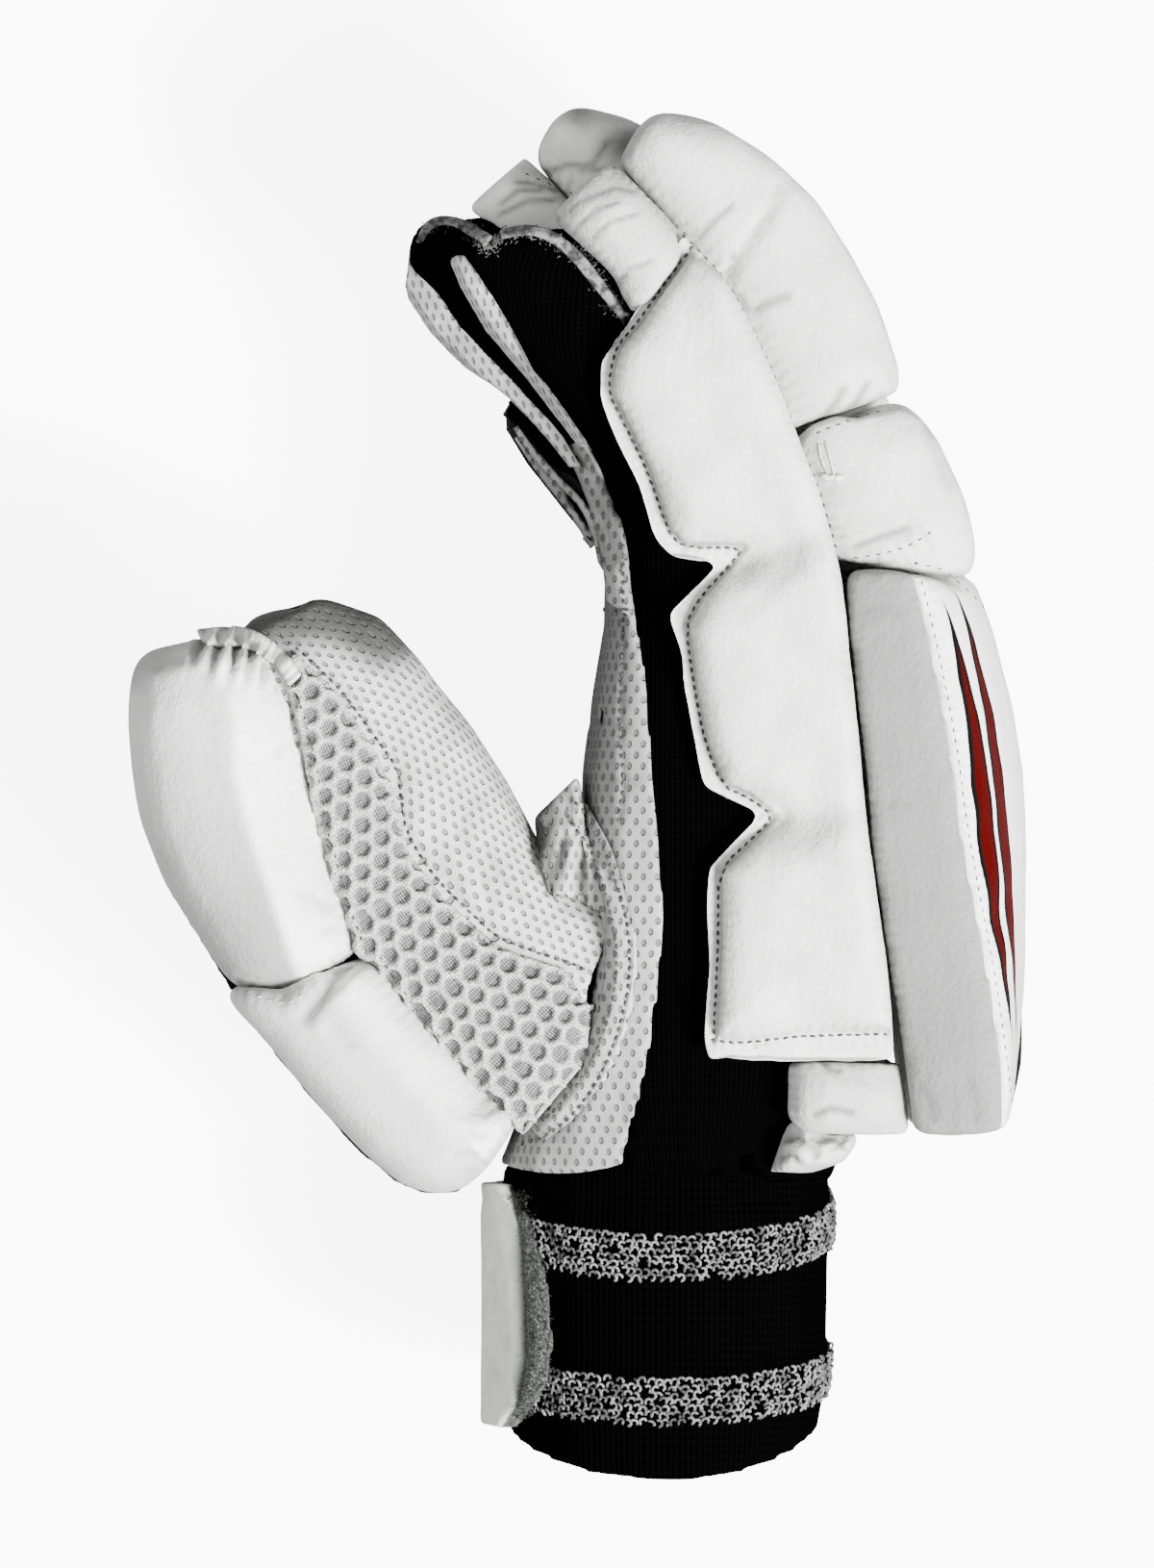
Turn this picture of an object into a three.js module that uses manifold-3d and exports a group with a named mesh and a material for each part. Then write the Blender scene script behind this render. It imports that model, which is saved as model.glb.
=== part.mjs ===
// A padded cricket batting glove for the right hand, lying on its little-finger side.
// +X is the back of the hand, +Y runs from the wrist to the fingertips, +Z is the index-finger side.
// Lengths are millimetres. Tables hold shares of the named sizes that their pieces follow.

import * as THREE from 'three';
import { mergeVertices } from 'three/addons/utils/BufferGeometryUtils.js';
import Module from 'manifold-3d';

const wasm = await Module();
wasm.setup();

// Hand: wrist seam to index stall tip, palm face to back panel, and across the four fingers
const HAND_LENGTH = 201.4;
const HAND_WIDTH = 100.7;
const HAND_BREADTH = 88;
const KNIT_WALL = 2;
const LEATHER_WALL = 1.6;
const BACK_LINING = 6;
const ROOT_DROP = 16;

// Pads
const SIDE_BAR_THICK = 13.2;
const SIDE_BAR_EDGE = 2.4;
const LITTLE_BAR_SHARE = 0.84;
const FOOT_DEPTH = 2.2;
const WRIST_PAD_THICK = 8;
const WRIST_FLARE_THICK = 7;
const TIP_PANEL_THICK = 9;
const ROLL_OVERHANG = 3.4;
const BACK_SIDE_RISE = 4;
const BACK_SIDE_FLARE = 3;
const BACK_SIDE_THICK = 17;
const BACK_SIDE_BULGE = 1.2;
const BACKING_THICK = 2;
const WRIST_PAD_SINK = 6.2;
const WRIST_PAD_REACH = 5.3;
const WRIST_FLARE_SINK = 9.8;
const WRIST_FLARE_REACH = 9.8;
const WRIST_FLARE_UNDER = 8;

// Thumb: along and across the side view, and through it
const THUMB_LENGTH = 100.7;
const THUMB_REACH = 100.7;
const THUMB_BREADTH = 28;
const THUMB_HEIGHT = 25;
const THUMB_GUARD_FRONT = 25;
const THUMB_GUARD_REAR = 22;
const MESH_THICK = 3;
const WEB_DEPTH = 16;
const FOLD_HEIGHT = 1.6;
const BINDING_WIDTH = 5;
const BINDING_RAISE = 1.4;

// Wrist
const CUFF_DIAMETER = 70;
const CUFF_FLATTENING = 0.96;
const CUFF_LENGTH = 55;
const CUFF_WALL = 2.6;
const CUFF_RIM_TILT = 12;
const BAND_RAISE = 0.7;
const STRAP_THICK = 3.2;
const STRAP_REAR_ANGLE = 245;

const CLEARANCE = 0.3;

// Levels through the glove, from the surface that it lies on
const HAND_LOW = SIDE_BAR_THICK + CLEARANCE;
const HAND_MIDDLE = HAND_LOW + HAND_BREADTH / 2;
const HAND_HIGH = HAND_LOW + HAND_BREADTH;
const FINGER_PITCH = HAND_BREADTH / 4;
const THUMB_MIDDLE = HAND_MIDDLE + THUMB_HEIGHT;

// Squareness of the sections' rounding: 2 is an ellipse, more is squarer
const PAD_CROWN = 2.7;
const PAD_BELLY = 7;
const ROLL_ROUNDING = 2.8;
const STALL_ROUNDING = 3;
const THUMB_ROUNDING = 2.4;
const GUARD_BELLY = 3.4;
const MESH_ROUNDING = 5;
const WEB_ROUNDING = 4;
const BACKING_ROUNDING = 8;
const BACK_TOP_ROUNDING = 2.4;

// Places in the side view
const CUFF_CENTRE = HAND_WIDTH * 0.25;
const THUMB_ROOT = { x: HAND_WIDTH * 0.102, y: HAND_LENGTH * 0.065 };

// Points round a section, and round a thin wall's arc
const ROUND_POINTS = 16;
const PAD_POINTS = 12;
const BAND_POINTS = 8;
const ARC_STEPS = 4;
const STRAP_STEPS = 8;
const BACK_STEPS = 10;
const WEB_FOLDS = 2.5;

// How deep a draft piece dips into what it is cut to fit
const DIP = 1;

const MATERIALS = {
  white_leather: new THREE.MeshStandardMaterial({ color: 0xe9e8e4, roughness: 0.55, metalness: 0 }),
  perforated_leather: new THREE.MeshStandardMaterial({ color: 0xc9c9c6, roughness: 0.65, metalness: 0 }),
  black_knit: new THREE.MeshStandardMaterial({ color: 0x0c0c0d, roughness: 0.9, metalness: 0 }),
  spacer_mesh: new THREE.MeshStandardMaterial({ color: 0xdcdcda, roughness: 0.8, metalness: 0 }),
  elastic_cuff: new THREE.MeshStandardMaterial({ color: 0x111112, roughness: 0.95, metalness: 0 }),
  strap_tape: new THREE.MeshStandardMaterial({ color: 0xc4c6bf, roughness: 0.8, metalness: 0 }),
  black_backing: new THREE.MeshStandardMaterial({ color: 0x151516, roughness: 0.85, metalness: 0 }),
};

// Hand body: height up the hand, palm and back edges, breadth, squareness and how far the level leans
const HAND_SECTIONS = [
  { y: 0.085, left: 0.0, right: 0.664, breadth: 0.9, square: 3.2, lean: 0 },
  { y: 0.175, left: 0.06, right: 0.7, breadth: 0.97, square: 3.8, lean: 0 },
  { y: 0.275, left: 0.092, right: 0.678, breadth: 1, square: 4, lean: 0 },
  { y: 0.375, left: 0.088, right: 0.662, breadth: 1, square: 4, lean: 0 },
  { y: 0.475, left: 0.1, right: 0.642, breadth: 1, square: 4, lean: 0.2 },
  { y: 0.575, left: 0.138, right: 0.622, breadth: 1, square: 4, lean: 0.5 },
  { y: 0.655, left: 0.14, right: 0.594, breadth: 1, square: 4, lean: 0.8 },
  { y: 0.71, left: 0.13, right: 0.552, breadth: 1, square: 4, lean: 1 },
];

// Finger columns: place in the row, then how far the tip and the rolls stand from the index finger's
const FINGERS = [
  { name: 'index', slot: 3, lean: 0, rise: 0, rollLean: 0, rollRise: 0, knuckle: 0 },
  { name: 'middle', slot: 2, lean: -0.14, rise: 0.018, rollLean: -0.18, rollRise: 0.01, knuckle: 0.008 },
  { name: 'ring', slot: 1, lean: -0.12, rise: -0.015, rollLean: -0.15, rollRise: -0.02, knuckle: -0.01 },
  { name: 'little', slot: 0, lean: 0.07, rise: -0.18, rollLean: 0.08, rollRise: -0.19, knuckle: -0.04 },
];

// Index finger stall, root to tip: palm edge, back edge and breadth
const STALL_SECTIONS = [
  { along: 0, lx: 0.118, ly: 0.71, rx: 0.552, ry: 0.71, deep: 1 },
  { along: 0.15, lx: 0.086, ly: 0.747, rx: 0.462, ry: 0.76, deep: 1 },
  { along: 0.28, lx: 0.038, ly: 0.779, rx: 0.402, ry: 0.8, deep: 1 },
  { along: 0.45, lx: -0.028, ly: 0.823, rx: 0.332, ry: 0.85, deep: 1 },
  { along: 0.64, lx: -0.108, ly: 0.87, rx: 0.262, ry: 0.9, deep: 0.98 },
  { along: 0.81, lx: -0.16, ly: 0.915, rx: 0.182, ry: 0.94, deep: 0.93 },
  { along: 0.94, lx: -0.186, ly: 0.947, rx: 0.092, ry: 0.967, deep: 0.8 },
  { along: 1, lx: -0.158, ly: 0.965, rx: 0.032, ry: 0.977, deep: 0.5 },
];

// Long roll over the index finger, tip to knuckle
const TIP_ROLL_SECTIONS = [
  { along: 1, lx: 0.162, ly: 1.057, rx: 0.198, ry: 1.089, deep: 0.5 },
  { along: 0.96, lx: 0.146, ly: 1.039, rx: 0.242, ry: 1.101, deep: 0.85 },
  { along: 0.85, lx: 0.198, ly: 1.007, rx: 0.342, ry: 1.089, deep: 1 },
  { along: 0.7, lx: 0.252, ly: 0.965, rx: 0.47, ry: 1.051, deep: 1 },
  { along: 0.55, lx: 0.292, ly: 0.92, rx: 0.562, ry: 1.008, deep: 1 },
  { along: 0.4, lx: 0.328, ly: 0.87, rx: 0.636, ry: 0.951, deep: 1 },
  { along: 0.25, lx: 0.366, ly: 0.825, rx: 0.696, ry: 0.893, deep: 1 },
  { along: 0.1, lx: 0.406, ly: 0.783, rx: 0.738, ry: 0.83, deep: 1 },
  { along: 0, lx: 0.452, ly: 0.757, rx: 0.738, ry: 0.807, deep: 0.85 },
];

// Roll over the index knuckle, top to bottom
const KNUCKLE_SECTIONS = [
  { along: 0, lx: 0.462, ly: 0.742, rx: 0.742, ry: 0.797, deep: 0.85 },
  { along: 0, lx: 0.474, ly: 0.715, rx: 0.814, ry: 0.762, deep: 1 },
  { along: 0, lx: 0.492, ly: 0.68, rx: 0.872, ry: 0.698, deep: 1 },
  { along: 0, lx: 0.512, ly: 0.65, rx: 0.898, ry: 0.644, deep: 1 },
  { along: 0, lx: 0.54, ly: 0.636, rx: 0.886, ry: 0.612, deep: 0.85 },
];

// Panel at the side of the index fingertip, tip to bar
const TIP_SIDE_SECTIONS = [
  { along: 1, lx: 0.004, ly: 0.987, rx: 0.136, ry: 1.046, deep: 0.6 },
  { along: 1, lx: 0.062, ly: 0.957, rx: 0.192, ry: 1.02, deep: 1 },
  { along: 1, lx: 0.132, ly: 0.92, rx: 0.242, ry: 0.993, deep: 1 },
  { along: 1, lx: 0.166, ly: 0.889, rx: 0.278, ry: 0.971, deep: 0.8 },
];

// Side bar, bottom to top, with its two notches on the palm side
const SIDE_BAR_SECTIONS = [
  { y: 0.115, left: 0.336, right: 0.728, crown: 0.45 },
  { y: 0.127, left: 0.324, right: 0.726, crown: 0.8 },
  { y: 0.208, left: 0.332, right: 0.712, crown: 1 },
  { y: 0.273, left: 0.326, right: 0.692, crown: 1 },
  { y: 0.311, left: 0.33, right: 0.682, crown: 0.94 },
  { y: 0.338, left: 0.38, right: 0.674, crown: 0.84 },
  { y: 0.368, left: 0.438, right: 0.668, crown: 0.76 },
  { y: 0.397, left: 0.316, right: 0.662, crown: 0.88 },
  { y: 0.417, left: 0.31, right: 0.658, crown: 0.96 },
  { y: 0.491, left: 0.282, right: 0.642, crown: 1 },
  { y: 0.535, left: 0.272, right: 0.63, crown: 1 },
  { y: 0.574, left: 0.244, right: 0.624, crown: 0.94 },
  { y: 0.615, left: 0.328, right: 0.616, crown: 0.84 },
  { y: 0.629, left: 0.356, right: 0.61, crown: 0.76 },
  { y: 0.637, left: 0.25, right: 0.606, crown: 0.84 },
  { y: 0.655, left: 0.216, right: 0.598, crown: 0.94 },
  { y: 0.708, left: 0.186, right: 0.566, crown: 1 },
  { y: 0.765, left: 0.134, right: 0.522, crown: 1 },
  { y: 0.796, left: 0.112, right: 0.5, crown: 1 },
  { y: 0.837, left: 0.11, right: 0.462, crown: 1 },
  { y: 0.881, left: 0.172, right: 0.422, crown: 0.94 },
  { y: 0.923, left: 0.232, right: 0.374, crown: 0.85 },
  { y: 0.966, left: 0.284, right: 0.3, crown: 0.6 },
];

// Back panel, bottom to top: foot of the sloping side, its seam with the top, and the top's outer face
const BACK_SECTIONS = [
  { y: 0.036, foot: 0.758, seam: 0.952, face: 0.958 },
  { y: 0.06, foot: 0.754, seam: 0.954, face: 0.964 },
  { y: 0.106, foot: 0.742, seam: 0.952, face: 0.978 },
  { y: 0.179, foot: 0.72, seam: 0.934, face: 0.992 },
  { y: 0.258, foot: 0.694, seam: 0.904, face: 0.998 },
  { y: 0.338, foot: 0.674, seam: 0.874, face: 1 },
  { y: 0.411, foot: 0.66, seam: 0.854, face: 0.992 },
  { y: 0.475, foot: 0.646, seam: 0.834, face: 0.974 },
  { y: 0.565, foot: 0.626, seam: 0.796, face: 0.928 },
  { y: 0.622, foot: 0.618, seam: 0.766, face: 0.884 },
];

// Black sheet under the back panel's outer edge
const BACKING_SECTIONS = [
  { y: 0.034, left: 0.86, right: 0.954 },
  { y: 0.05, left: 0.86, right: 0.976 },
  { y: 0.103, left: 0.86, right: 0.994 },
  { y: 0.179, left: 0.86, right: 0.998 },
  { y: 0.222, left: 0.86, right: 0.992 },
];

// Pad between the side bar and the wrist, bottom to top
const WRIST_PAD_SECTIONS = [
  { y: 0.038, left: 0.53, right: 0.756, crown: 0.6 },
  { y: 0.055, left: 0.496, right: 0.752, crown: 0.9 },
  { y: 0.085, left: 0.5, right: 0.744, crown: 1 },
  { y: 0.112, left: 0.498, right: 0.736, crown: 0.8 },
];

// Lump of leather at the wrist: height up the hand, then shares of the cuff's radius from its centre
const WRIST_FLARE_SECTIONS = [
  { y: -0.003, left: 0.61, right: 0.892, crown: 0.6 },
  { y: 0.008, left: 0.639, right: 1.064, crown: 1 },
  { y: 0.024, left: 0.673, right: 1.133, crown: 1 },
  { y: 0.036, left: 0.708, right: 1.145, crown: 0.7 },
];

// Palm leather: front edge on the index side, by height up the hand
const PALM_EDGE = [
  { y: 0.012, edge: 0.162 },
  { y: 0.074, edge: 0.196 },
  { y: 0.127, edge: 0.218 },
  { y: 0.208, edge: 0.24 },
  { y: 0.261, edge: 0.246 },
  { y: 0.34, edge: 0.236 },
  { y: 0.42, edge: 0.222 },
  { y: 0.519, edge: 0.208 },
  { y: 0.59, edge: 0.186 },
  { y: 0.65, edge: 0.165 },
];

// Thumb tube, tip to mouth: outer edge, palm edge and breadth
const THUMB_SECTIONS = [
  { lx: -0.745, ly: 0.93, rx: -0.69, ry: 0.99, deep: 0.45 },
  { lx: -0.762, ly: 0.86, rx: -0.578, ry: 1.046, deep: 0.85 },
  { lx: -0.7, ly: 0.68, rx: -0.46, ry: 1.006, deep: 1 },
  { lx: -0.63, ly: 0.56, rx: -0.36, ry: 0.92, deep: 1 },
  { lx: -0.54, ly: 0.44, rx: -0.26, ry: 0.8, deep: 1 },
  { lx: -0.44, ly: 0.32, rx: -0.18, ry: 0.676, deep: 1 },
  { lx: -0.33, ly: 0.22, rx: -0.12, ry: 0.56, deep: 1 },
  { lx: -0.2, ly: 0.14, rx: -0.05, ry: 0.47, deep: 1 },
  { lx: -0.03, ly: 0.1, rx: 0.02, ry: 0.43, deep: 1 },
];

// Padded guards on the back of the thumb, tip to wrist
const GUARD_UPPER_SECTIONS = [
  { lx: -0.94, ly: 0.945, rx: -0.77, ry: 0.985, deep: 0.5 },
  { lx: -0.966, ly: 0.9, rx: -0.66, ry: 0.94, deep: 0.88 },
  { lx: -0.974, ly: 0.81, rx: -0.618, ry: 0.83, deep: 1 },
  { lx: -0.968, ly: 0.72, rx: -0.596, ry: 0.72, deep: 1 },
  { lx: -0.95, ly: 0.6, rx: -0.568, ry: 0.6, deep: 1 },
  { lx: -0.9, ly: 0.47, rx: -0.536, ry: 0.476, deep: 1 },
  { lx: -0.83, ly: 0.36, rx: -0.5, ry: 0.37, deep: 1 },
  { lx: -0.766, ly: 0.262, rx: -0.49, ry: 0.325, deep: 0.9 },
  { lx: -0.7, ly: 0.226, rx: -0.56, ry: 0.268, deep: 0.6 },
];

const GUARD_LOWER_SECTIONS = [
  { lx: -0.74, ly: 0.214, rx: -0.492, ry: 0.31, deep: 0.8 },
  { lx: -0.716, ly: 0.174, rx: -0.44, ry: 0.28, deep: 1 },
  { lx: -0.648, ly: 0.088, rx: -0.37, ry: 0.19, deep: 1 },
  { lx: -0.572, ly: -0.004, rx: -0.29, ry: 0.104, deep: 1 },
  { lx: -0.49, ly: -0.092, rx: -0.22, ry: 0.014, deep: 1 },
  { lx: -0.412, ly: -0.158, rx: -0.158, ry: -0.02, deep: 1 },
  { lx: -0.348, ly: -0.182, rx: -0.182, ry: -0.068, deep: 0.85 },
  { lx: -0.28, ly: -0.176, rx: -0.22, ry: -0.126, deep: 0.5 },
];

// Mesh gusset between the guards and the thumb tube, tip to wrist
const MESH_SECTIONS = [
  { lx: -0.64, ly: 0.92, rx: -0.616, ry: 0.948, deep: 0.9 },
  { lx: -0.604, ly: 0.8, rx: -0.53, ry: 0.866, deep: 1 },
  { lx: -0.576, ly: 0.64, rx: -0.454, ry: 0.76, deep: 1 },
  { lx: -0.54, ly: 0.49, rx: -0.404, ry: 0.66, deep: 1 },
  { lx: -0.49, ly: 0.35, rx: -0.378, ry: 0.542, deep: 1 },
  { lx: -0.43, ly: 0.28, rx: -0.3, ry: 0.44, deep: 1 },
  { lx: -0.36, ly: 0.18, rx: -0.18, ry: 0.34, deep: 1 },
  { lx: -0.266, ly: 0.076, rx: -0.06, ry: 0.304, deep: 1 },
  { lx: -0.192, ly: -0.01, rx: 0.0, ry: 0.22, deep: 1 },
  { lx: -0.15, ly: -0.06, rx: -0.016, ry: 0.1, deep: 0.9 },
];

// Folded leather in the crotch of the thumb, top to bottom
const WEB_SECTIONS = [
  { lx: -0.128, ly: 0.6, rx: -0.034, ry: 0.69, deep: 0.7 },
  { lx: -0.12, ly: 0.5, rx: -0.016, ry: 0.576, deep: 1 },
  { lx: -0.11, ly: 0.38, rx: 0.016, ry: 0.45, deep: 1 },
  { lx: -0.07, ly: 0.3, rx: 0.028, ry: 0.33, deep: 1 },
  { lx: -0.04, ly: 0.28, rx: 0.02, ry: 0.25, deep: 0.8 },
];

// Stitched binding, from the thumb crotch down to the wrist
const BINDING_ROUTE = [
  { x: -0.04, y: 0.628 },
  { x: 0.004, y: 0.564 },
  { x: 0.03, y: 0.504 },
  { x: 0.052, y: 0.436 },
  { x: 0.068, y: 0.36 },
  { x: 0.07, y: 0.286 },
  { x: 0.062, y: 0.216 },
  { x: 0.036, y: 0.124 },
  { x: -0.002, y: 0.044 },
  { x: -0.05, y: -0.02 },
  { x: -0.104, y: -0.064 },
  { x: -0.152, y: -0.08 },
];

// Cuff, wrist to rim: girth, how far the level tilts and where the two bands of loops stand out
const CUFF_SECTIONS = [
  { along: 0, girth: 1, tilt: 0, raised: 0 },
  { along: 0.11, girth: 1, tilt: 0.25, raised: 0 },
  { along: 0.13, girth: 1, tilt: 0.3, raised: 1 },
  { along: 0.28, girth: 1, tilt: 0.42, raised: 1 },
  { along: 0.3, girth: 0.997, tilt: 0.45, raised: 0 },
  { along: 0.67, girth: 0.98, tilt: 0.6, raised: 0 },
  { along: 0.69, girth: 0.98, tilt: 0.62, raised: 1 },
  { along: 0.83, girth: 0.975, tilt: 0.72, raised: 1 },
  { along: 0.85, girth: 0.973, tilt: 0.75, raised: 0 },
  { along: 0.96, girth: 0.965, tilt: 0.94, raised: 0 },
  { along: 1, girth: 0.945, tilt: 1, raised: 0 },
];

// Strap end: height down the cuff and the angle of its front edge
const STRAP_SECTIONS = [
  { along: 0.06, front: 158 },
  { along: 0.18, front: 144 },
  { along: 0.42, front: 136 },
  { along: 0.66, front: 133 },
  { along: 0.82, front: 136 },
  { along: 0.92, front: 145 },
  { along: 0.99, front: 156 },
];

function handPoint(x, y) {
  return new THREE.Vector2(x * HAND_WIDTH, y * HAND_LENGTH);
}

function thumbPoint(x, y) {
  return new THREE.Vector2(THUMB_ROOT.x + x * THUMB_REACH, THUMB_ROOT.y + y * THUMB_LENGTH);
}

// Share of a rounded half-section at one angle; a higher power is squarer
function rounded(value, power) {
  return Math.sign(value) * Math.abs(value) ** (2 / power);
}

// One point of a section that stands on the line from its left to its right edge
function sectionPoint(section, angle) {
  const { left, right, level, up, down, upPower, downPower, folds = 0, shear = 0 } = section;
  const sine = Math.sin(angle);
  const power = sine >= 0 ? upPower : downPower;
  const across = rounded(Math.cos(angle), power);
  const high = rounded(sine, power) * (sine >= 0 ? up : down);
  const spot = left.clone().lerp(right, (across + 1) / 2);
  const fold = sine > 0 ? folds * FOLD_HEIGHT * Math.cos(across * Math.PI * WEB_FOLDS) : 0;
  const z = level + high + fold;
  return new THREE.Vector3(spot.x, spot.y + shear * (z - HAND_HIGH), z);
}

function ringOf(section, count) {
  const angles = Array.from({ length: count }, (_, i) => (2 * Math.PI * (i + 0.5)) / count);
  return angles.map((angle) => sectionPoint(section, angle));
}

function centreOf(ring) {
  return ring.reduce((sum, p) => sum.add(p), new THREE.Vector3()).divideScalar(ring.length);
}

function normalOf(ring) {
  const normal = new THREE.Vector3();
  const centre = centreOf(ring);
  ring.forEach((p, i) => {
    const next = ring[(i + 1) % ring.length];
    normal.add(p.clone().sub(centre).cross(next.clone().sub(centre)));
  });
  return normal.normalize();
}

// Ring moved sideways in its own plane, out for a positive distance
function offsetRing(ring, distance) {
  const axis = normalOf(ring);
  return ring.map((p, i) => {
    const before = ring[(i + ring.length - 1) % ring.length];
    const after = ring[(i + 1) % ring.length];
    const side = after.clone().sub(before).cross(axis).normalize();
    return p.clone().addScaledVector(side, distance);
  });
}

// Rings with their first and last moved along the run, out for a positive distance
function stretchEnds(rings, atStart, atEnd) {
  const result = rings.map((ring) => ring.map((p) => p.clone()));
  const last = rings.length - 1;
  const startWay = centreOf(rings[0]).sub(centreOf(rings[1])).normalize();
  const endWay = centreOf(rings[last]).sub(centreOf(rings[last - 1])).normalize();
  result[0].forEach((p) => p.addScaledVector(startWay, atStart));
  result[last].forEach((p) => p.addScaledVector(endWay, atEnd));
  return result;
}

function solidFrom(positions, triangles) {
  const geometry = new THREE.BufferGeometry();
  geometry.setAttribute('position', new THREE.Float32BufferAttribute(positions, 3));
  geometry.setIndex(triangles);
  const merged = mergeVertices(geometry, 1e-4);
  const mesh = new wasm.Mesh({
    numProp: 3,
    vertProperties: new Float32Array(merged.attributes.position.array),
    triVerts: new Uint32Array(merged.index.array),
  });
  return new wasm.Manifold(mesh);
}

// Closed solid through a run of rings, with a fan of triangles over each end
function loft(rings) {
  const count = rings[0].length;
  const points = [...rings.flat(), centreOf(rings[0]), centreOf(rings[rings.length - 1])];
  const positions = points.flatMap((p) => [p.x, p.y, p.z]);
  const startCap = points.length - 2;
  const endCap = points.length - 1;
  const lastRing = (rings.length - 1) * count;
  const triangles = [];
  for (let i = 0; i < count; i += 1) {
    const j = (i + 1) % count;
    triangles.push(startCap, j, i);
    triangles.push(endCap, lastRing + i, lastRing + j);
    for (let row = 0; row < lastRing; row += count) {
      triangles.push(row + i, row + j, row + count + j);
      triangles.push(row + i, row + count + j, row + count + i);
    }
  }
  const middle = Math.floor(rings.length / 2);
  const way = centreOf(rings[middle]).sub(centreOf(rings[middle - 1]));
  if (normalOf(rings[middle]).dot(way) < 0) triangles.reverse();
  return solidFrom(positions, triangles);
}

// The same run grown by the clearance, to cut what lies against it
function grown(rings) {
  const wider = rings.map((ring) => offsetRing(ring, CLEARANCE));
  return loft(stretchEnds(wider, CLEARANCE, CLEARANCE));
}

// Tube that is open at its first ring, and at its last one too unless it ends in a tip
function hollow(rings, wall, tip, lining = rings) {
  const past = 2 * wall;
  const inner = lining.map((ring) => offsetRing(ring, -wall));
  return loft(rings).subtract(loft(stretchEnds(inner, past, tip ? -wall : past)));
}

// Piece of wall over part of each section, from one angle to another, between two distances from it
function wallRings(sections, span, near, far, steps = ARC_STEPS) {
  return sections.map((section, row) => {
    const [from, to] = span(row);
    const step = (to - from) / steps;
    const layer = (distance) =>
      Array.from({ length: steps + 1 }, (_, i) => {
        const angle = from + step * i;
        const before = sectionPoint(section, angle - 0.01);
        const after = sectionPoint(section, angle + 0.01);
        const run = new THREE.Vector3(section.right.x - section.left.x, section.right.y - section.left.y, 0);
        const axis = run.cross(new THREE.Vector3(0, 0, 1)).normalize();
        const side = after.sub(before).cross(axis).normalize();
        return sectionPoint(section, angle).addScaledVector(side, distance);
      });
    return [...layer(near), ...layer(far).reverse()];
  });
}

function boxesMeet(a, b) {
  return [0, 1, 2].every((i) => a.min[i] <= b.max[i] && b.min[i] <= a.max[i]);
}

function largestBody(solid) {
  return solid.decompose().reduce((best, body) => (body.volume() > best.volume() ? body : best));
}

// Pieces in the order that they are laid: each one is cut to fit those already there
const pieces = [];

function lay(name, material, solid, blocker) {
  const near = pieces.filter((piece) => boxesMeet(piece.blocker.boundingBox(), solid.boundingBox()));
  const fitted = near.reduce((shape, piece) => shape.subtract(piece.blocker), solid);
  pieces.push({ name, material, solid: largestBody(fitted), blocker });
}

function layRun(name, material, rings) {
  lay(name, material, loft(rings), grown(rings));
}

// A pad seen from the side: its edges at one level, a crown above and a flat or low belly below
function padSection(left, right, level, up, down, upPower = PAD_CROWN, downPower = PAD_BELLY) {
  return { left, right, level, up, down, upPower, downPower };
}

const fingerLevel = (finger) => HAND_LOW + FINGER_PITCH * (finger.slot + 0.5);

function bandPoints(row, finger, lean, rise, root) {
  const sway = lean * Math.sin((row.along * Math.PI) / 2);
  const lift = rise * row.along - root * (1 - row.along);
  return [handPoint(row.lx + sway, row.ly + lift), handPoint(row.rx + sway, row.ry + lift)];
}

function cuffSection(row, extra) {
  const radius = (CUFF_DIAMETER / 2) * row.girth + row.raised * BAND_RAISE + extra;
  const y = -CLEARANCE - row.along * CUFF_LENGTH;
  const height = radius * CUFF_FLATTENING;
  const left = new THREE.Vector2(CUFF_CENTRE - radius, y);
  const right = new THREE.Vector2(CUFF_CENTRE + radius, y);
  return { left, right, level: HAND_MIDDLE, up: height, down: height, upPower: 2, downPower: 2 };
}

// Level of a cuff section that tilts down towards the index side
function tiltRing(ring, row) {
  const slope = Math.tan(THREE.MathUtils.degToRad(CUFF_RIM_TILT * row.tilt));
  return ring.map((p) => new THREE.Vector3(p.x, p.y - slope * (p.z - HAND_MIDDLE), p.z));
}

function layCuff() {
  const rings = CUFF_SECTIONS.map((row) => tiltRing(ringOf(cuffSection(row, 0), ROUND_POINTS), row));
  const plain = rings.filter((_, i) => i === 0 || i === 5 || i === rings.length - 1);
  lay('wrist_cuff', 'elastic_cuff', hollow(rings, CUFF_WALL, false, plain), grown(rings));
}

const wristSection = () => {
  const section = cuffSection({ girth: 1, along: 0, raised: 0 }, 0);
  section.left.y = 0;
  section.right.y = 0;
  return section;
};

const handSlope = ROOT_DROP / (3 * FINGER_PITCH);

const handSections = [
  wristSection(),
  ...HAND_SECTIONS.map((row) => ({
    left: handPoint(row.left, row.y),
    right: handPoint(row.right, row.y),
    level: HAND_MIDDLE,
    up: (HAND_BREADTH / 2) * row.breadth,
    down: (HAND_BREADTH / 2) * row.breadth,
    upPower: row.square,
    downPower: row.square,
    shear: handSlope * row.lean,
  })),
];

const thumbSections = THUMB_SECTIONS.map((row) => ({
  left: thumbPoint(row.lx, row.ly),
  right: thumbPoint(row.rx, row.ry),
  level: THUMB_MIDDLE,
  up: (THUMB_BREADTH / 2) * row.deep,
  down: (THUMB_BREADTH / 2) * row.deep,
  upPower: THUMB_ROUNDING,
  downPower: THUMB_ROUNDING,
}));

const thumbRings = thumbSections.map((section) => ringOf(section, ROUND_POINTS));

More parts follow.
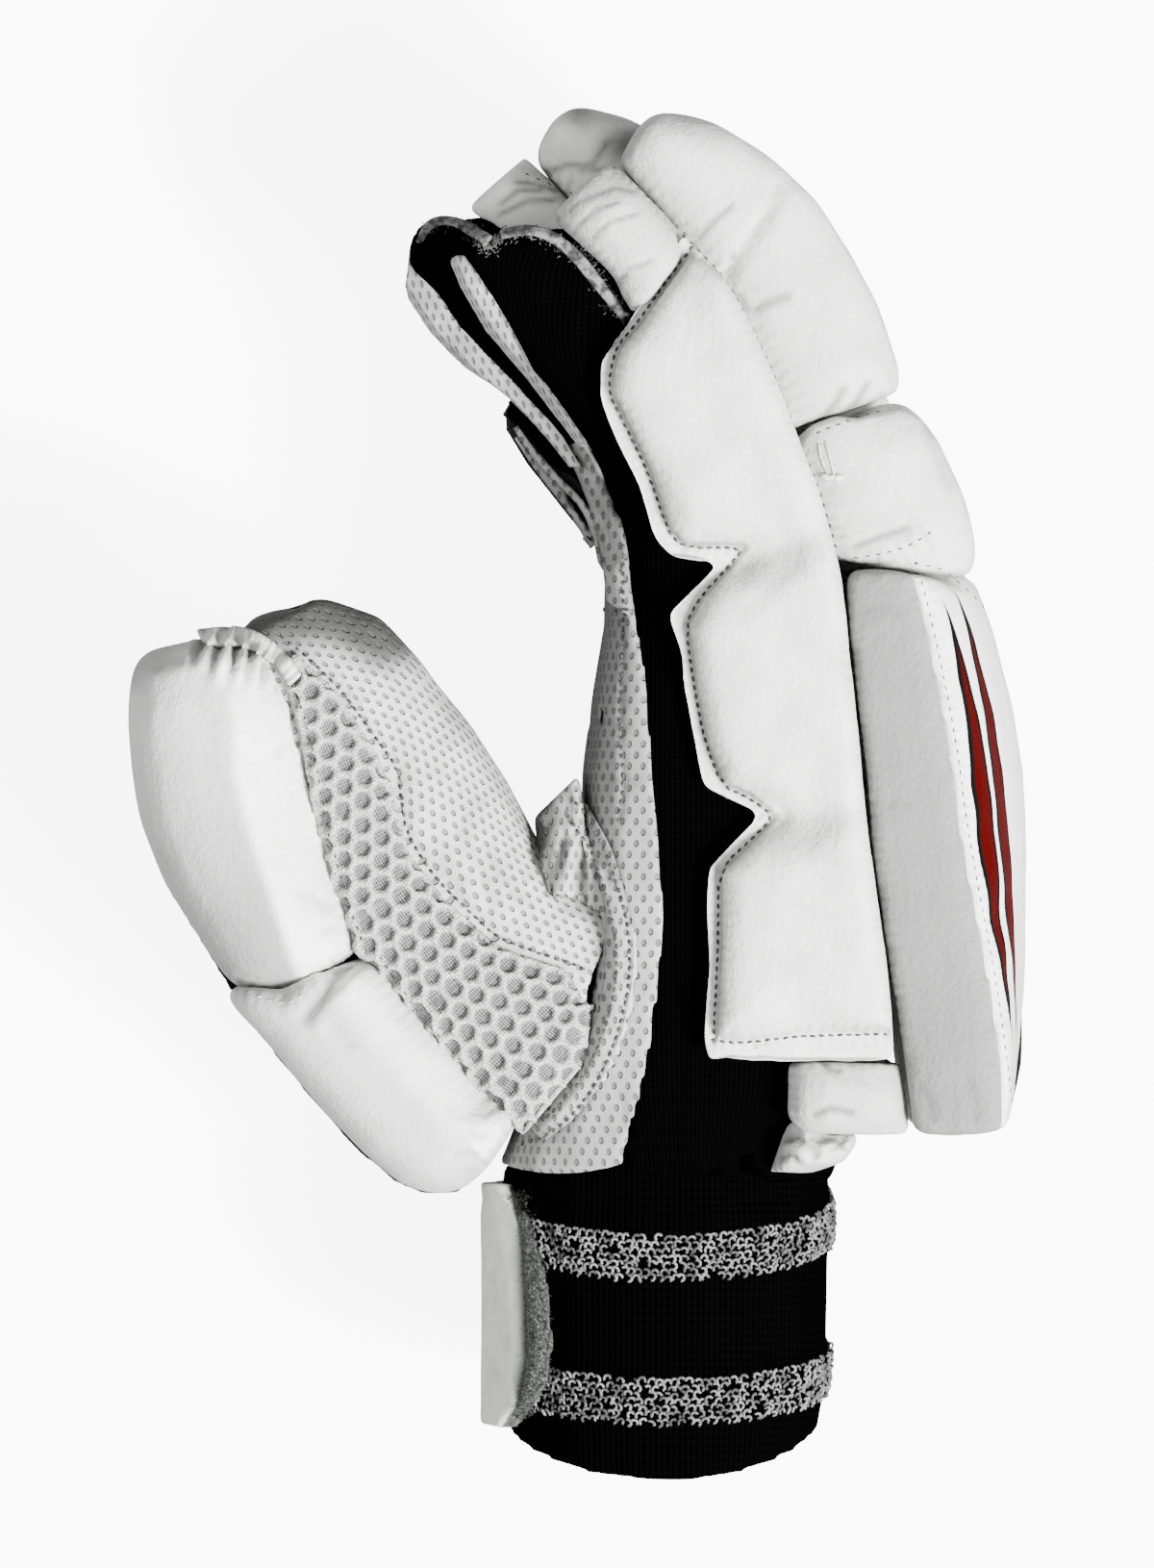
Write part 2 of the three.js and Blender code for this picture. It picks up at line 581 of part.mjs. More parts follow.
// Way from the thumb tube into the hand, through the wall of the hand body
function thumbBore() {
  const inner = thumbRings.map((ring) => offsetRing(ring, -LEATHER_WALL)).slice(-3);
  return loft(stretchEnds(inner, 0, HAND_WIDTH * 0.2));
}

function layHand() {
  const rings = handSections.map((section) => ringOf(section, ROUND_POINTS));
  const liningShift = new THREE.Vector3(-(BACK_LINING - KNIT_WALL) / 2, 0, 0);
  const inner = rings.map((ring, row) => {
    const wall = row === 0 ? CUFF_WALL : KNIT_WALL;
    const middle = centreOf(ring);
    return offsetRing(ring, -wall).map((p) => {
      const backward = row > 0 && p.x > middle.x;
      return backward ? p.addScaledVector(liningShift, 2 * Math.min(1, row / 2)) : p;
    });
  });
  const body = loft(rings).subtract(loft(stretchEnds(inner, 2 * CUFF_WALL, 2 * KNIT_WALL)));
  lay('hand_shell', 'black_knit', body.subtract(thumbBore()), grown(rings));
}

function stallSections(finger) {
  const root = (ROOT_DROP / HAND_LENGTH) * (1 - finger.slot / 3);
  return STALL_SECTIONS.map((row) => {
    const [left, right] = bandPoints(row, finger, finger.lean, finger.rise, root);
    const lift = (CLEARANCE * 2) * (1 - row.along);
    left.y += lift;
    right.y += lift;
    const half = (FINGER_PITCH / 2 - CLEARANCE / 2) * row.deep;
    const section = padSection(left, right, fingerLevel(finger), half, half, STALL_ROUNDING, STALL_ROUNDING);
    return { ...section, rootShear: handSlope * Math.max(0, 1 - 3 * row.along) };
  });
}

// Stall rings lie on the slope of the finger roots at first, then across the finger
function shearRing(ring, section) {
  return ring.map((p) => new THREE.Vector3(p.x, p.y + section.rootShear * (p.z - section.level), p.z));
}

function layStalls() {
  FINGERS.forEach((finger) => {
    const rings = stallSections(finger).map((section) => shearRing(ringOf(section, PAD_POINTS), section));
    lay(`finger_stall_${finger.name}`, 'black_knit', hollow(rings, KNIT_WALL, true), grown(rings));
  });
}

const rad = THREE.MathUtils.degToRad;

// Perforated strip down the palm side of a finger
function layStrips() {
  FINGERS.forEach((finger) => {
    const sections = stallSections(finger).slice(1, -1);
    const span = () => [rad(128), rad(232)];
    const strip = loft(wallRings(sections, span, -DIP, CLEARANCE + LEATHER_WALL));
    const blocker = loft(wallRings(sections, () => [rad(126), rad(234)], 0, LEATHER_WALL + 2 * CLEARANCE));
    lay(`finger_strip_${finger.name}`, 'perforated_leather', strip, blocker);
  });
}

// Angle at which a hand section's front reaches a given share of the hand's width
function frontAngle(section, x) {
  const middle = (section.left.x + section.right.x) / 2;
  const half = (section.right.x - section.left.x) / 2;
  const across = THREE.MathUtils.clamp((x - middle) / half, -1, 1);
  return Math.acos(rounded(across, 4 / section.upPower));
}

function handSectionAt(y) {
  const rows = handSections;
  const height = y * HAND_LENGTH;
  const above = Math.max(1, rows.findIndex((row) => row.left.y >= height));
  const low = rows[above - 1];
  const high = rows[above];
  const t = (height - low.left.y) / (high.left.y - low.left.y);
  const mix = (key) => THREE.MathUtils.lerp(low[key] ?? 0, high[key] ?? 0, t);
  return {
    left: low.left.clone().lerp(high.left, t),
    right: low.right.clone().lerp(high.right, t),
    level: HAND_MIDDLE,
    up: mix('up'),
    down: mix('down'),
    upPower: mix('upPower'),
    downPower: mix('downPower'),
    shear: mix('shear'),
  };
}

function layPalm() {
  const sections = PALM_EDGE.map((row) => handSectionAt(row.y));
  const span = (row) => {
    const front = frontAngle(sections[row], PALM_EDGE[row].edge * HAND_WIDTH);
    return [front, 2 * Math.PI - front];
  };
  const wall = wallRings(sections, span, -DIP, CLEARANCE + LEATHER_WALL, 2 * ARC_STEPS);
  const reach = CLEARANCE / 20;
  const wider = (row) => [span(row)[0] - reach, span(row)[1] + reach];
  const blocker = wallRings(sections, wider, 0, LEATHER_WALL + 2 * CLEARANCE, 2 * ARC_STEPS);
  lay('palm_leather', 'perforated_leather', loft(wall), loft(stretchEnds(blocker, CLEARANCE, CLEARANCE)));
}

// Level of the index side's surface over a place in the side view
function surfaceLevel(x, y) {
  const section = handSectionAt(y / HAND_LENGTH);
  const angle = frontAngle(section, x);
  return sectionPoint(section, angle).z;
}

// The two outer sides carry the same bar and wrist pad, one the mirror of the other.
// The glove's weight presses the lower bar flat.
const SIDES = [
  { name: 'index', flip: (z) => z, barShare: 1, pressed: 0 },
  { name: 'little', flip: (z) => 2 * HAND_MIDDLE - z, barShare: LITTLE_BAR_SHARE, pressed: FOOT_DEPTH },
];

function flipRings(rings, side) {
  return rings.map((ring) => ring.map((p) => new THREE.Vector3(p.x, p.y, side.flip(p.z))));
}

function sideBarRings(side) {
  const base = HAND_HIGH + CLEARANCE;
  const lowest = SIDE_BAR_SECTIONS[0].y;
  return SIDE_BAR_SECTIONS.map((row) => {
    const y = lowest + (row.y - lowest) * side.barShare;
    const crown = SIDE_BAR_THICK - SIDE_BAR_EDGE + side.pressed;
    const left = handPoint(row.left, y);
    const right = handPoint(row.right, y);
    return ringOf(padSection(left, right, base + SIDE_BAR_EDGE, crown * row.crown, SIDE_BAR_EDGE), PAD_POINTS);
  });
}

// Everything below the surface that the glove lies on
function ground() {
  const size = 4 * HAND_LENGTH;
  const bare = new THREE.BoxGeometry(size, size, size);
  bare.deleteAttribute('normal');
  bare.deleteAttribute('uv');
  const box = mergeVertices(bare);
  box.translate(0, 0, -size / 2);
  return solidFrom(Array.from(box.attributes.position.array), Array.from(box.index.array));
}

function laySideBars() {
  SIDES.forEach((side) => {
    const rings = flipRings(sideBarRings(side), side);
    lay(`side_bar_${side.name}`, 'white_leather', loft(rings).subtract(ground()), grown(rings));
  });
}

function layTipSides() {
  FINGERS.slice(0, 2).forEach((finger) => {
    const top = fingerLevel(finger) + FINGER_PITCH / 2;
    const rings = TIP_SIDE_SECTIONS.map((row) => {
      const [left, right] = bandPoints(row, finger, finger.rollLean, finger.rollRise, 0);
      const outer = finger.slot === 3 ? TIP_PANEL_THICK * row.deep : -CLEARANCE;
      return ringOf(padSection(left, right, top - TIP_PANEL_THICK, TIP_PANEL_THICK + outer, FINGER_PITCH / 3), PAD_POINTS);
    });
    layRun(`tip_side_${finger.name}`, 'white_leather', rings);
  });
}

function layRolls(prefix, table, leanKey, riseKey) {
  FINGERS.forEach((finger) => {
    const half = FINGER_PITCH / 2 - CLEARANCE / 2;
    const over = { index: finger.slot === 3 ? ROLL_OVERHANG : 0, little: finger.slot === 0 ? ROLL_OVERHANG : 0 };
    const rings = table.map((row) => {
      const [left, right] = bandPoints(row, finger, finger[leanKey], finger[riseKey], -finger.knuckle);
      const up = (half + over.index) * row.deep;
      const down = (half + over.little) * row.deep;
      return ringOf(padSection(left, right, fingerLevel(finger), up, down, ROLL_ROUNDING, ROLL_ROUNDING), PAD_POINTS);
    });
    layRun(`${prefix}_${finger.name}`, 'white_leather', rings);
  });
}

// Side of the back panel: a wedge between the hand's back and the seam with the panel's top,
// which stands a little further out than the wedge's foot
function backSideRings() {
  const outer = HAND_HIGH + BACK_SIDE_RISE;
  return BACK_SECTIONS.map((row) => {
    const foot = row.foot * HAND_WIDTH + CLEARANCE;
    const seam = row.seam * HAND_WIDTH;
    const face = (share) => [foot + (seam - foot) * share, outer + BACK_SIDE_FLARE * share + BACK_SIDE_BULGE];
    return [
      [foot, outer],
      face(1 / 3),
      face(3 / 4),
      [seam, outer + BACK_SIDE_FLARE],
      [seam - CLEARANCE, outer + BACK_SIDE_FLARE - CLEARANCE],
      [foot, outer - BACK_SIDE_THICK],
    ].map(([x, z]) => new THREE.Vector3(x, row.y * HAND_LENGTH, z));
  });
}

function backTopRings() {
  const seamLevel = HAND_HIGH + BACK_SIDE_RISE + BACK_SIDE_FLARE - 3 * CLEARANCE;
  const footLevel = HAND_HIGH + BACK_SIDE_RISE - BACK_SIDE_THICK - 3 * CLEARANCE;
  return BACK_SECTIONS.map((row) => {
    const seam = row.seam * HAND_WIDTH;
    const rise = row.face * HAND_WIDTH - seam;
    const half = seamLevel - HAND_MIDDLE;
    const foot = row.foot * HAND_WIDTH + CLEARANCE;
    const arc = Array.from({ length: BACK_STEPS + 1 }, (_, i) => {
      const share = 1 - (2 * i) / BACK_STEPS;
      return [seam + rise * (1 - Math.abs(share) ** BACK_TOP_ROUNDING), HAND_MIDDLE + half * share];
    });
    const back = [[foot, 2 * HAND_MIDDLE - footLevel], [foot, footLevel]];
    return [...arc, ...back].map(([x, z]) => new THREE.Vector3(x, row.y * HAND_LENGTH, z));
  });
}

function layBack() {
  SIDES.forEach((side) => layRun(`back_side_${side.name}`, 'white_leather', flipRings(backSideRings(), side)));
  layRun('back_top', 'white_leather', backTopRings());
  const half = FINGER_PITCH / 2;
  const backing = BACKING_SECTIONS.map((row) => {
    const left = handPoint(row.left, row.y);
    const right = handPoint(row.right, row.y);
    return ringOf(padSection(left, right, HAND_LOW + half, half, half, STALL_ROUNDING, STALL_ROUNDING), PAD_POINTS);
  });
  layRun('back_backing', 'black_backing', backing);
}

function layWristPads() {
  const padLevel = HAND_HIGH - WRIST_PAD_SINK;
  SIDES.forEach((side) => {
    const rings = WRIST_PAD_SECTIONS.map((row) => {
      const up = (WRIST_PAD_THICK + WRIST_PAD_REACH) * row.crown;
      const left = handPoint(row.left, row.y);
      const right = handPoint(row.right, row.y);
      return ringOf(padSection(left, right, padLevel, up, WRIST_PAD_THICK), PAD_POINTS);
    });
    layRun(`wrist_pad_${side.name}`, 'white_leather', flipRings(rings, side));
  });
  const flareLevel = HAND_MIDDLE + CUFF_DIAMETER / 2 - WRIST_FLARE_SINK;
  const flare = WRIST_FLARE_SECTIONS.map((row) => {
    const up = (WRIST_FLARE_THICK + WRIST_FLARE_REACH) * row.crown;
    const y = row.y * HAND_LENGTH;
    const left = new THREE.Vector2(CUFF_CENTRE + (row.left * CUFF_DIAMETER) / 2, y);
    const right = new THREE.Vector2(CUFF_CENTRE + (row.right * CUFF_DIAMETER) / 2, y);
    return ringOf(padSection(left, right, flareLevel, up, WRIST_FLARE_UNDER), PAD_POINTS);
  });
  layRun('wrist_flare', 'white_leather', flare);
}

function thumbPad(table, level, up, down, upPower, downPower, extra = {}) {
  return table.map((row) => {
    const left = thumbPoint(row.lx, row.ly);
    const right = thumbPoint(row.rx, row.ry);
    const section = padSection(left, right, level, up * row.deep, down * row.deep, upPower, downPower);
    return ringOf({ ...section, ...extra }, extra.points ?? ROUND_POINTS);
  });
}

// The tube's first ring is its tip and its last one opens into the hand
function layThumb() {
  const tube = hollow([...thumbRings].reverse(), LEATHER_WALL, true);
  lay('thumb_stall', 'perforated_leather', tube, grown(thumbRings));
}

function guardRings(table) {
  return thumbPad(table, THUMB_MIDDLE, THUMB_GUARD_FRONT, THUMB_GUARD_REAR, ROLL_ROUNDING, GUARD_BELLY);
}

function layThumbPads() {
  layRun('thumb_guard_upper', 'white_leather', guardRings(GUARD_UPPER_SECTIONS));
  layRun('thumb_guard_lower', 'white_leather', guardRings(GUARD_LOWER_SECTIONS));
  const meshTop = THUMB_BREADTH / 2 + MESH_THICK;
  const mesh = thumbPad(MESH_SECTIONS, THUMB_MIDDLE, meshTop, MESH_THICK, MESH_ROUNDING, MESH_ROUNDING);
  layRun('thumb_mesh', 'spacer_mesh', mesh);
  const webTop = THUMB_BREADTH / 2 - FOLD_HEIGHT;
  const web = thumbPad(WEB_SECTIONS, THUMB_MIDDLE, webTop, WEB_DEPTH, WEB_ROUNDING, WEB_ROUNDING, { folds: 1 });
  layRun('thumb_web', 'perforated_leather', web);
}

// Sheet that the two guards are sewn to, a little wider than they are
function layThumbBacking() {
  const level = THUMB_MIDDLE - THUMB_GUARD_REAR - CLEARANCE - BACKING_THICK / 2;
  const half = BACKING_THICK / 2;
  const table = [...GUARD_UPPER_SECTIONS.slice(0, -2), ...GUARD_LOWER_SECTIONS];
  const wide = table.map((row) => ({ ...row, lx: row.lx - 0.008, ly: row.ly - 0.012, deep: 1 }));
  const sheet = thumbPad(wide, level, half, half, BACKING_ROUNDING, BACKING_ROUNDING, { points: BAND_POINTS });
  layRun('thumb_backing', 'black_backing', sheet);
}

function layBinding() {
  const route = BINDING_ROUTE.map((row) => thumbPoint(row.x, row.y));
  const rings = route.map((spot, i) => {
    const before = route[Math.max(0, i - 1)];
    const after = route[Math.min(route.length - 1, i + 1)];
    const along = after.clone().sub(before).normalize();
    const across = new THREE.Vector2(-along.y, along.x).multiplyScalar(-BINDING_WIDTH / 2);
    const level = surfaceLevel(spot.x, spot.y) + LEATHER_WALL + CLEARANCE;
    const section = padSection(spot.clone().sub(across), spot.clone().add(across), level, BINDING_RAISE, 3, 3, 6);
    return ringOf(section, BAND_POINTS);
  });
  layRun('palm_binding', 'perforated_leather', rings);
}

function layStrap() {
  const sections = STRAP_SECTIONS.map((row) => cuffSection({ ...row, girth: 1, raised: 0 }, BAND_RAISE));
  const span = (row) => [rad(STRAP_SECTIONS[row].front), rad(STRAP_REAR_ANGLE)];
  const strap = loft(wallRings(sections, span, -DIP, CLEARANCE + STRAP_THICK, STRAP_STEPS));
  lay('wrist_strap', 'strap_tape', strap, strap);
}

layCuff();
layHand();
layStalls();
layThumb();
laySideBars();
layTipSides();
layRolls('knuckle_roll', KNUCKLE_SECTIONS, 'rollLean', 'rollRise');
layRolls('tip_roll', TIP_ROLL_SECTIONS, 'rollLean', 'rollRise');
layStrips();
layPalm();
layBack();
layWristPads();
layThumbPads();
layThumbBacking();
layBinding();
layStrap();

function meshOf(piece) {
  const { vertProperties, triVerts, numProp } = piece.solid.getMesh();
  const geometry = new THREE.BufferGeometry();
  const positions = Array.from(vertProperties).filter((_, i) => i % numProp < 3);
  geometry.setAttribute('position', new THREE.Float32BufferAttribute(positions, 3));
  geometry.setIndex(Array.from(triVerts));
  geometry.computeVertexNormals();
  const mesh = new THREE.Mesh(geometry, MATERIALS[piece.material]);
  mesh.name = piece.name;
  return mesh;
}

// The origin is on the resting surface, under the middle of the glove
const glove = new THREE.Group();
pieces.forEach((piece) => glove.add(meshOf(piece)));
const bounds = new THREE.Box3().setFromObject(glove);
const middle = bounds.getCenter(new THREE.Vector3());
glove.position.set(-middle.x, -middle.y, -bounds.min.z);
glove.updateMatrixWorld(true);

export default glove;
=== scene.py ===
# Dressing of a cricket batting glove that lies on its little-finger side.
# Lengths in the tables and shaping functions are millimetres; Blender's own are metres.
import math
import random

import bmesh
import bpy
import numpy as np
from mathutils import Matrix, Vector
from mathutils.bvhtree import BVHTree


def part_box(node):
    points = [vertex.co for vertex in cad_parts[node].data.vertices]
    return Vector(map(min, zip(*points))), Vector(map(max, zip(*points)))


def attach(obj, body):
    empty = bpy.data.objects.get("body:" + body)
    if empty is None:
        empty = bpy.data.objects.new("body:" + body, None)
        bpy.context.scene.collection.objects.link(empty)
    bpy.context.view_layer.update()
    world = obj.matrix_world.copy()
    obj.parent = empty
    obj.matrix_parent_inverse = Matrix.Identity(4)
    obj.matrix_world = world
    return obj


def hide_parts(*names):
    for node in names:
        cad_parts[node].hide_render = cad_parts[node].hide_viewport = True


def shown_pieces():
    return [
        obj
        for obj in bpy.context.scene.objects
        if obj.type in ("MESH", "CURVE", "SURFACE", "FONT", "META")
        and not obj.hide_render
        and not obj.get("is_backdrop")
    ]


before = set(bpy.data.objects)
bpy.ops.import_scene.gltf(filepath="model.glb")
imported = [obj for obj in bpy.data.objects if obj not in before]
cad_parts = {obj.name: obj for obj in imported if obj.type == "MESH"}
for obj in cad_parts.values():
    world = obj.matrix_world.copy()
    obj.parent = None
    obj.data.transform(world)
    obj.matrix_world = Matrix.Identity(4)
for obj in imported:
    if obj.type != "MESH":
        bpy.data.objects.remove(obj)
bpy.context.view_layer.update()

# Places read off the photograph: pixels of its 1200 by 1630 frame, turned into the glove's frame
MM_PER_PIXEL = 0.2014
ORIGIN_PIXEL = (599.1, 813.7)
MM = 0.001
CLOTH_FRAMES = 20

# Levels through the glove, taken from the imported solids
HAND_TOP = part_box("hand_shell")[1][2] / MM
HAND_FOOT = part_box("hand_shell")[0][2] / MM
HAND_MIDDLE = (HAND_TOP + HAND_FOOT) / 2
BAR_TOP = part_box("side_bar_index")[1][2] / MM


def spot(pixels):
    """Pixels of the photograph as millimetres across and up the glove."""
    points = np.array(pixels, dtype=float).reshape(-1, 2)
    return (points - ORIGIN_PIXEL) * (MM_PER_PIXEL, -MM_PER_PIXEL)


# Mesh helpers
def coords(obj):
    flat = np.empty(len(obj.data.vertices) * 3)
    obj.data.vertices.foreach_get("co", flat)
    return flat.reshape(-1, 3) / MM


def set_coords(obj, points):
    obj.data.vertices.foreach_set("co", (points * MM).ravel())
    obj.data.update()


def normals(obj):
    flat = np.empty(len(obj.data.vertices) * 3)
    obj.data.vertex_normals.foreach_get("vector", flat)
    return flat.reshape(-1, 3)


def new_object(name, mesh):
    obj = bpy.data.objects.new(name, mesh)
    bpy.context.scene.collection.objects.link(obj)
    return obj


def from_bmesh(name, bm):
    mesh = bpy.data.meshes.new(name)
    bm.to_mesh(mesh)
    bm.free()
    return new_object(name, mesh)


def apply_modifiers(obj):
    graph = bpy.context.evaluated_depsgraph_get()
    mesh = bpy.data.meshes.new_from_object(obj.evaluated_get(graph))
    obj.modifiers.clear()
    obj.data = mesh


def smooth_shading(obj):
    obj.data.shade_smooth()


def copy_of(node, name):
    """A merged copy of a node's solid, as a new piece."""
    bm = bmesh.new()
    bm.from_mesh(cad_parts[node].data)
    bmesh.ops.remove_doubles(bm, verts=bm.verts, dist=0.01 * MM)
    return from_bmesh(name, bm)


def soften(obj, iterations, factor):
    """A modifier that evens a piece out all over."""
    smoothing = obj.modifiers.new("soften", "SMOOTH")
    smoothing.factor = factor
    smoothing.iterations = iterations


def remesh(obj, voxel, smoothing, factor=0.5):
    """Even quads all over, with the facets smoothed away."""
    grid = obj.modifiers.new("even", "REMESH")
    grid.mode = "VOXEL"
    grid.voxel_size = voxel * MM
    grid.adaptivity = 0
    soften(obj, smoothing, factor)
    apply_modifiers(obj)


def subdivide(obj):
    """Twice as fine, with rounded faces."""
    finer = obj.modifiers.new("finer", "SUBSURF")
    finer.levels = 1
    finer.render_levels = 1
    apply_modifiers(obj)


def inflate(obj, cap):
    """Cloth filled with air for a moment, then held within cap millimetres of where it was."""
    start = coords(obj)
    cloth = obj.modifiers.new("fill", "CLOTH")
    cloth.settings.use_pressure = True
    cloth.settings.uniform_pressure_force = 4.0
    cloth.settings.effector_weights.gravity = 0
    cloth.settings.quality = 4
    cloth.settings.mass = 0.15
    cloth.collision_settings.use_self_collision = False
    cloth.point_cache.frame_start = 1
    cloth.point_cache.frame_end = CLOTH_FRAMES
    scene = bpy.context.scene
    for step in range(1, CLOTH_FRAMES + 1):
        scene.frame_set(step)
    apply_modifiers(obj)
    scene.frame_set(1)
    moved = coords(obj) - start
    length = np.linalg.norm(moved, axis=1, keepdims=True)
    share = np.minimum(1, cap / np.maximum(length, 1e-9))
    set_coords(obj, start + moved * share)


def scatter(name, template, matrices):
    """One mesh made of many copies of a small template."""
    stamp = bpy.data.meshes.new(name + "_one")
    template.to_mesh(stamp)
    template.free()
    bm = bmesh.new()
    for matrix in matrices:
        bm.from_mesh(stamp)
        bmesh.ops.transform(bm, matrix=matrix, verts=bm.verts[-len(stamp.vertices):])
    obj = from_bmesh(name, bm)
    bpy.data.meshes.remove(stamp)
    smooth_shading(obj)
    return obj


def bead(length, width):
    """A small capsule along X, in millimetres."""
    bm = bmesh.new()
    bmesh.ops.create_uvsphere(bm, u_segments=6, v_segments=4, radius=0.5)
    bmesh.ops.rotate(bm, verts=bm.verts, matrix=Matrix.Rotation(math.pi / 2, 3, "Y"))
    bmesh.ops.scale(bm, verts=bm.verts, vec=Vector((length, width, width)) * MM)
    bm.verts.index_update()
    return bm


# Lines over the surface
def along_line(points, line):
    """Distance of each point from a polyline, how far along it lies and on which side."""
    line = np.asarray(line, dtype=float)
    best = np.full(len(points), 1e9)
    place = np.zeros(len(points))
    side = np.zeros(len(points))
    walked = 0.0
    for start, end in zip(line[:-1], line[1:]):
        run = end - start
        length = np.linalg.norm(run)
        share = np.clip(((points - start) @ run) / (length * length), 0, 1)
        offset = points - (start + share[:, None] * run)
        distance = np.linalg.norm(offset, axis=1)
        closer = distance < best
        cross = run[0] * offset[:, 1] - run[1] * offset[:, 0]
        best = np.where(closer, distance, best)
        place = np.where(closer, walked + share * length, place)
        side = np.where(closer, np.sign(cross), side)
        walked += length
    return best, place, side


def steps_along(line, pitch):
    """Points at an even pitch along a polyline, each with its direction."""
    line = np.asarray(line, dtype=float)
    lengths = np.linalg.norm(np.diff(line, axis=0), axis=1)
    walked = np.concatenate([[0], np.cumsum(lengths)])
    count = max(2, int(walked[-1] / pitch) + 1)
    result = []
    for place in np.linspace(0, walked[-1], count):
        i = min(int(np.searchsorted(walked, place, side="right")) - 1, len(lengths) - 1)
        share = (place - walked[i]) / lengths[i]
        result.append((line[i] + (line[i + 1] - line[i]) * share, (line[i + 1] - line[i]) / lengths[i]))
    return result


def rounded_line(line, rounds):
    """A polyline with its corners cut, again and again, into a curve."""
    line = np.asarray(line, dtype=float)
    for _ in range(rounds):
        first = line[:-1] * 0.75 + line[1:] * 0.25
        second = line[:-1] * 0.25 + line[1:] * 0.75
        middle = np.stack([first, second], axis=1).reshape(-1, line.shape[1])
        line = np.concatenate([line[:1], middle, line[-1:]])
    return line


def bump(distance, width):
    return np.exp(-((distance / width) ** 2))


def smooth_step(value, low, high):
    share = np.clip((value - low) / (high - low), 0, 1)
    return share * share * (3 - 2 * share)


def wobble(points, scale, seed):
    """Slow irregular waves, the same each run, from -1 to 1."""
    rng = np.random.default_rng(seed)
    total = np.zeros(len(points))
    for _ in range(5):
        way = rng.normal(size=3)
        way /= np.linalg.norm(way)
        wave = rng.uniform(0.7, 1.4) * 2 * math.pi / scale
        total += np.sin(points @ way * wave + rng.uniform(0, 2 * math.pi))
    return total / 5


class Skin:
    """Finished pieces, to drop stitches and trims onto."""

    def __init__(self, objects):
        bm = bmesh.new()
        for obj in objects:
            bm.from_mesh(obj.data)
        self.tree = BVHTree.FromBMesh(bm)
        bm.free()

    def drop(self, start, way):
        """First place met from start along way, with its normal, in millimetres; None if nothing is met."""
        place, normal, _, _ = self.tree.ray_cast(Vector(start) * MM, Vector(way))
        if place is None:
            return None
        return place / MM, normal


DOWN = (0, 0, -1)
ABOVE_ALL = 140.0


# Shader helpers
class Shader:
    """Short ways to add and join the nodes of one material or group."""

    def __init__(self, tree):
        self.tree = tree

    def add(self, kind, **settings):
        node = self.tree.nodes.new(kind)
        for key, value in settings.items():
            setattr(node, key, value)
        return node

    def feed(self, socket, value):
        if isinstance(value, bpy.types.NodeSocket):
            self.tree.links.new(value, socket)
        else:
            socket.default_value = value

    def math(self, operation, *values):
        node = self.add("ShaderNodeMath", operation=operation)
        for socket, value in zip(node.inputs, values):
            self.feed(socket, value)
        return node.outputs[0]

    def split(self, vector):
        node = self.add("ShaderNodeSeparateXYZ")
        self.feed(node.inputs[0], vector)
        return node.outputs

    def noise(self, vector, scale, detail=3.0):
        node = self.add("ShaderNodeTexNoise")
        self.feed(node.inputs["Vector"], vector)
        self.feed(node.inputs["Scale"], scale)
        node.inputs["Detail"].default_value = detail
        node.inputs["Roughness"].default_value = 0.55
        return node.outputs["Fac"]

    def cells(self, vector, scale, feature="F1"):
        node = self.add("ShaderNodeTexVoronoi", feature=feature)
        self.feed(node.inputs["Vector"], vector)
        self.feed(node.inputs["Scale"], scale)
        return node.outputs["Distance"]

    def ramp(self, value, low, high, start=0.0, end=1.0):
        node = self.add("ShaderNodeMapRange", interpolation_type="SMOOTHSTEP")
        for socket, number in zip(node.inputs, (value, low, high, start, end)):
            self.feed(socket, number)
        return node.outputs["Result"]

    def blend(self, share, first, second):
        node = self.add("ShaderNodeMix", data_type="RGBA")
        self.feed(node.inputs["Factor"], share)
        self.feed(node.inputs["A"], first)
        self.feed(node.inputs["B"], second)
        return node.outputs["Result"]

    def stretch(self, vector, scale):
        node = self.add("ShaderNodeMapping")
        self.feed(node.inputs["Vector"], vector)
        node.inputs["Scale"].default_value = scale
        return node.outputs["Vector"]

    def coordinates(self):
        return self.add("ShaderNodeTexCoord").outputs["Object"]

    def attribute(self, name, output="Fac"):
        return self.add("ShaderNodeAttribute", attribute_name=name).outputs[output]

    def use(self, group, **values):
        node = self.add("ShaderNodeGroup", node_tree=group)
        for key, value in values.items():
            self.feed(node.inputs[key], value)
        return node.outputs

    def bump(self, height, distance):
        node = self.add("ShaderNodeBump")
        self.feed(node.inputs["Height"], height)
        node.inputs["Distance"].default_value = distance * MM
        node.inputs["Strength"].default_value = 1.0
        return node.outputs["Normal"]


def node_group(name, inputs, outputs, build):
    """A shared effect: named numbers and vectors in, colours or values out."""
    tree = bpy.data.node_groups.new(name, "ShaderNodeTree")
    for label, kind, default in inputs:
        socket = tree.interface.new_socket(name=label, in_out="INPUT", socket_type=kind)
        if default is not None:
            socket.default_value = default
    for label, kind in outputs:
        tree.interface.new_socket(name=label, in_out="OUTPUT", socket_type=kind)
    shader = Shader(tree)
    source = shader.add("NodeGroupInput")
    sink = shader.add("NodeGroupOutput")
    for label, value in build(shader, source.outputs).items():
        shader.feed(sink.inputs[label], value)
    return tree


FLOAT = "NodeSocketFloat"
VECTOR = "NodeSocketVector"


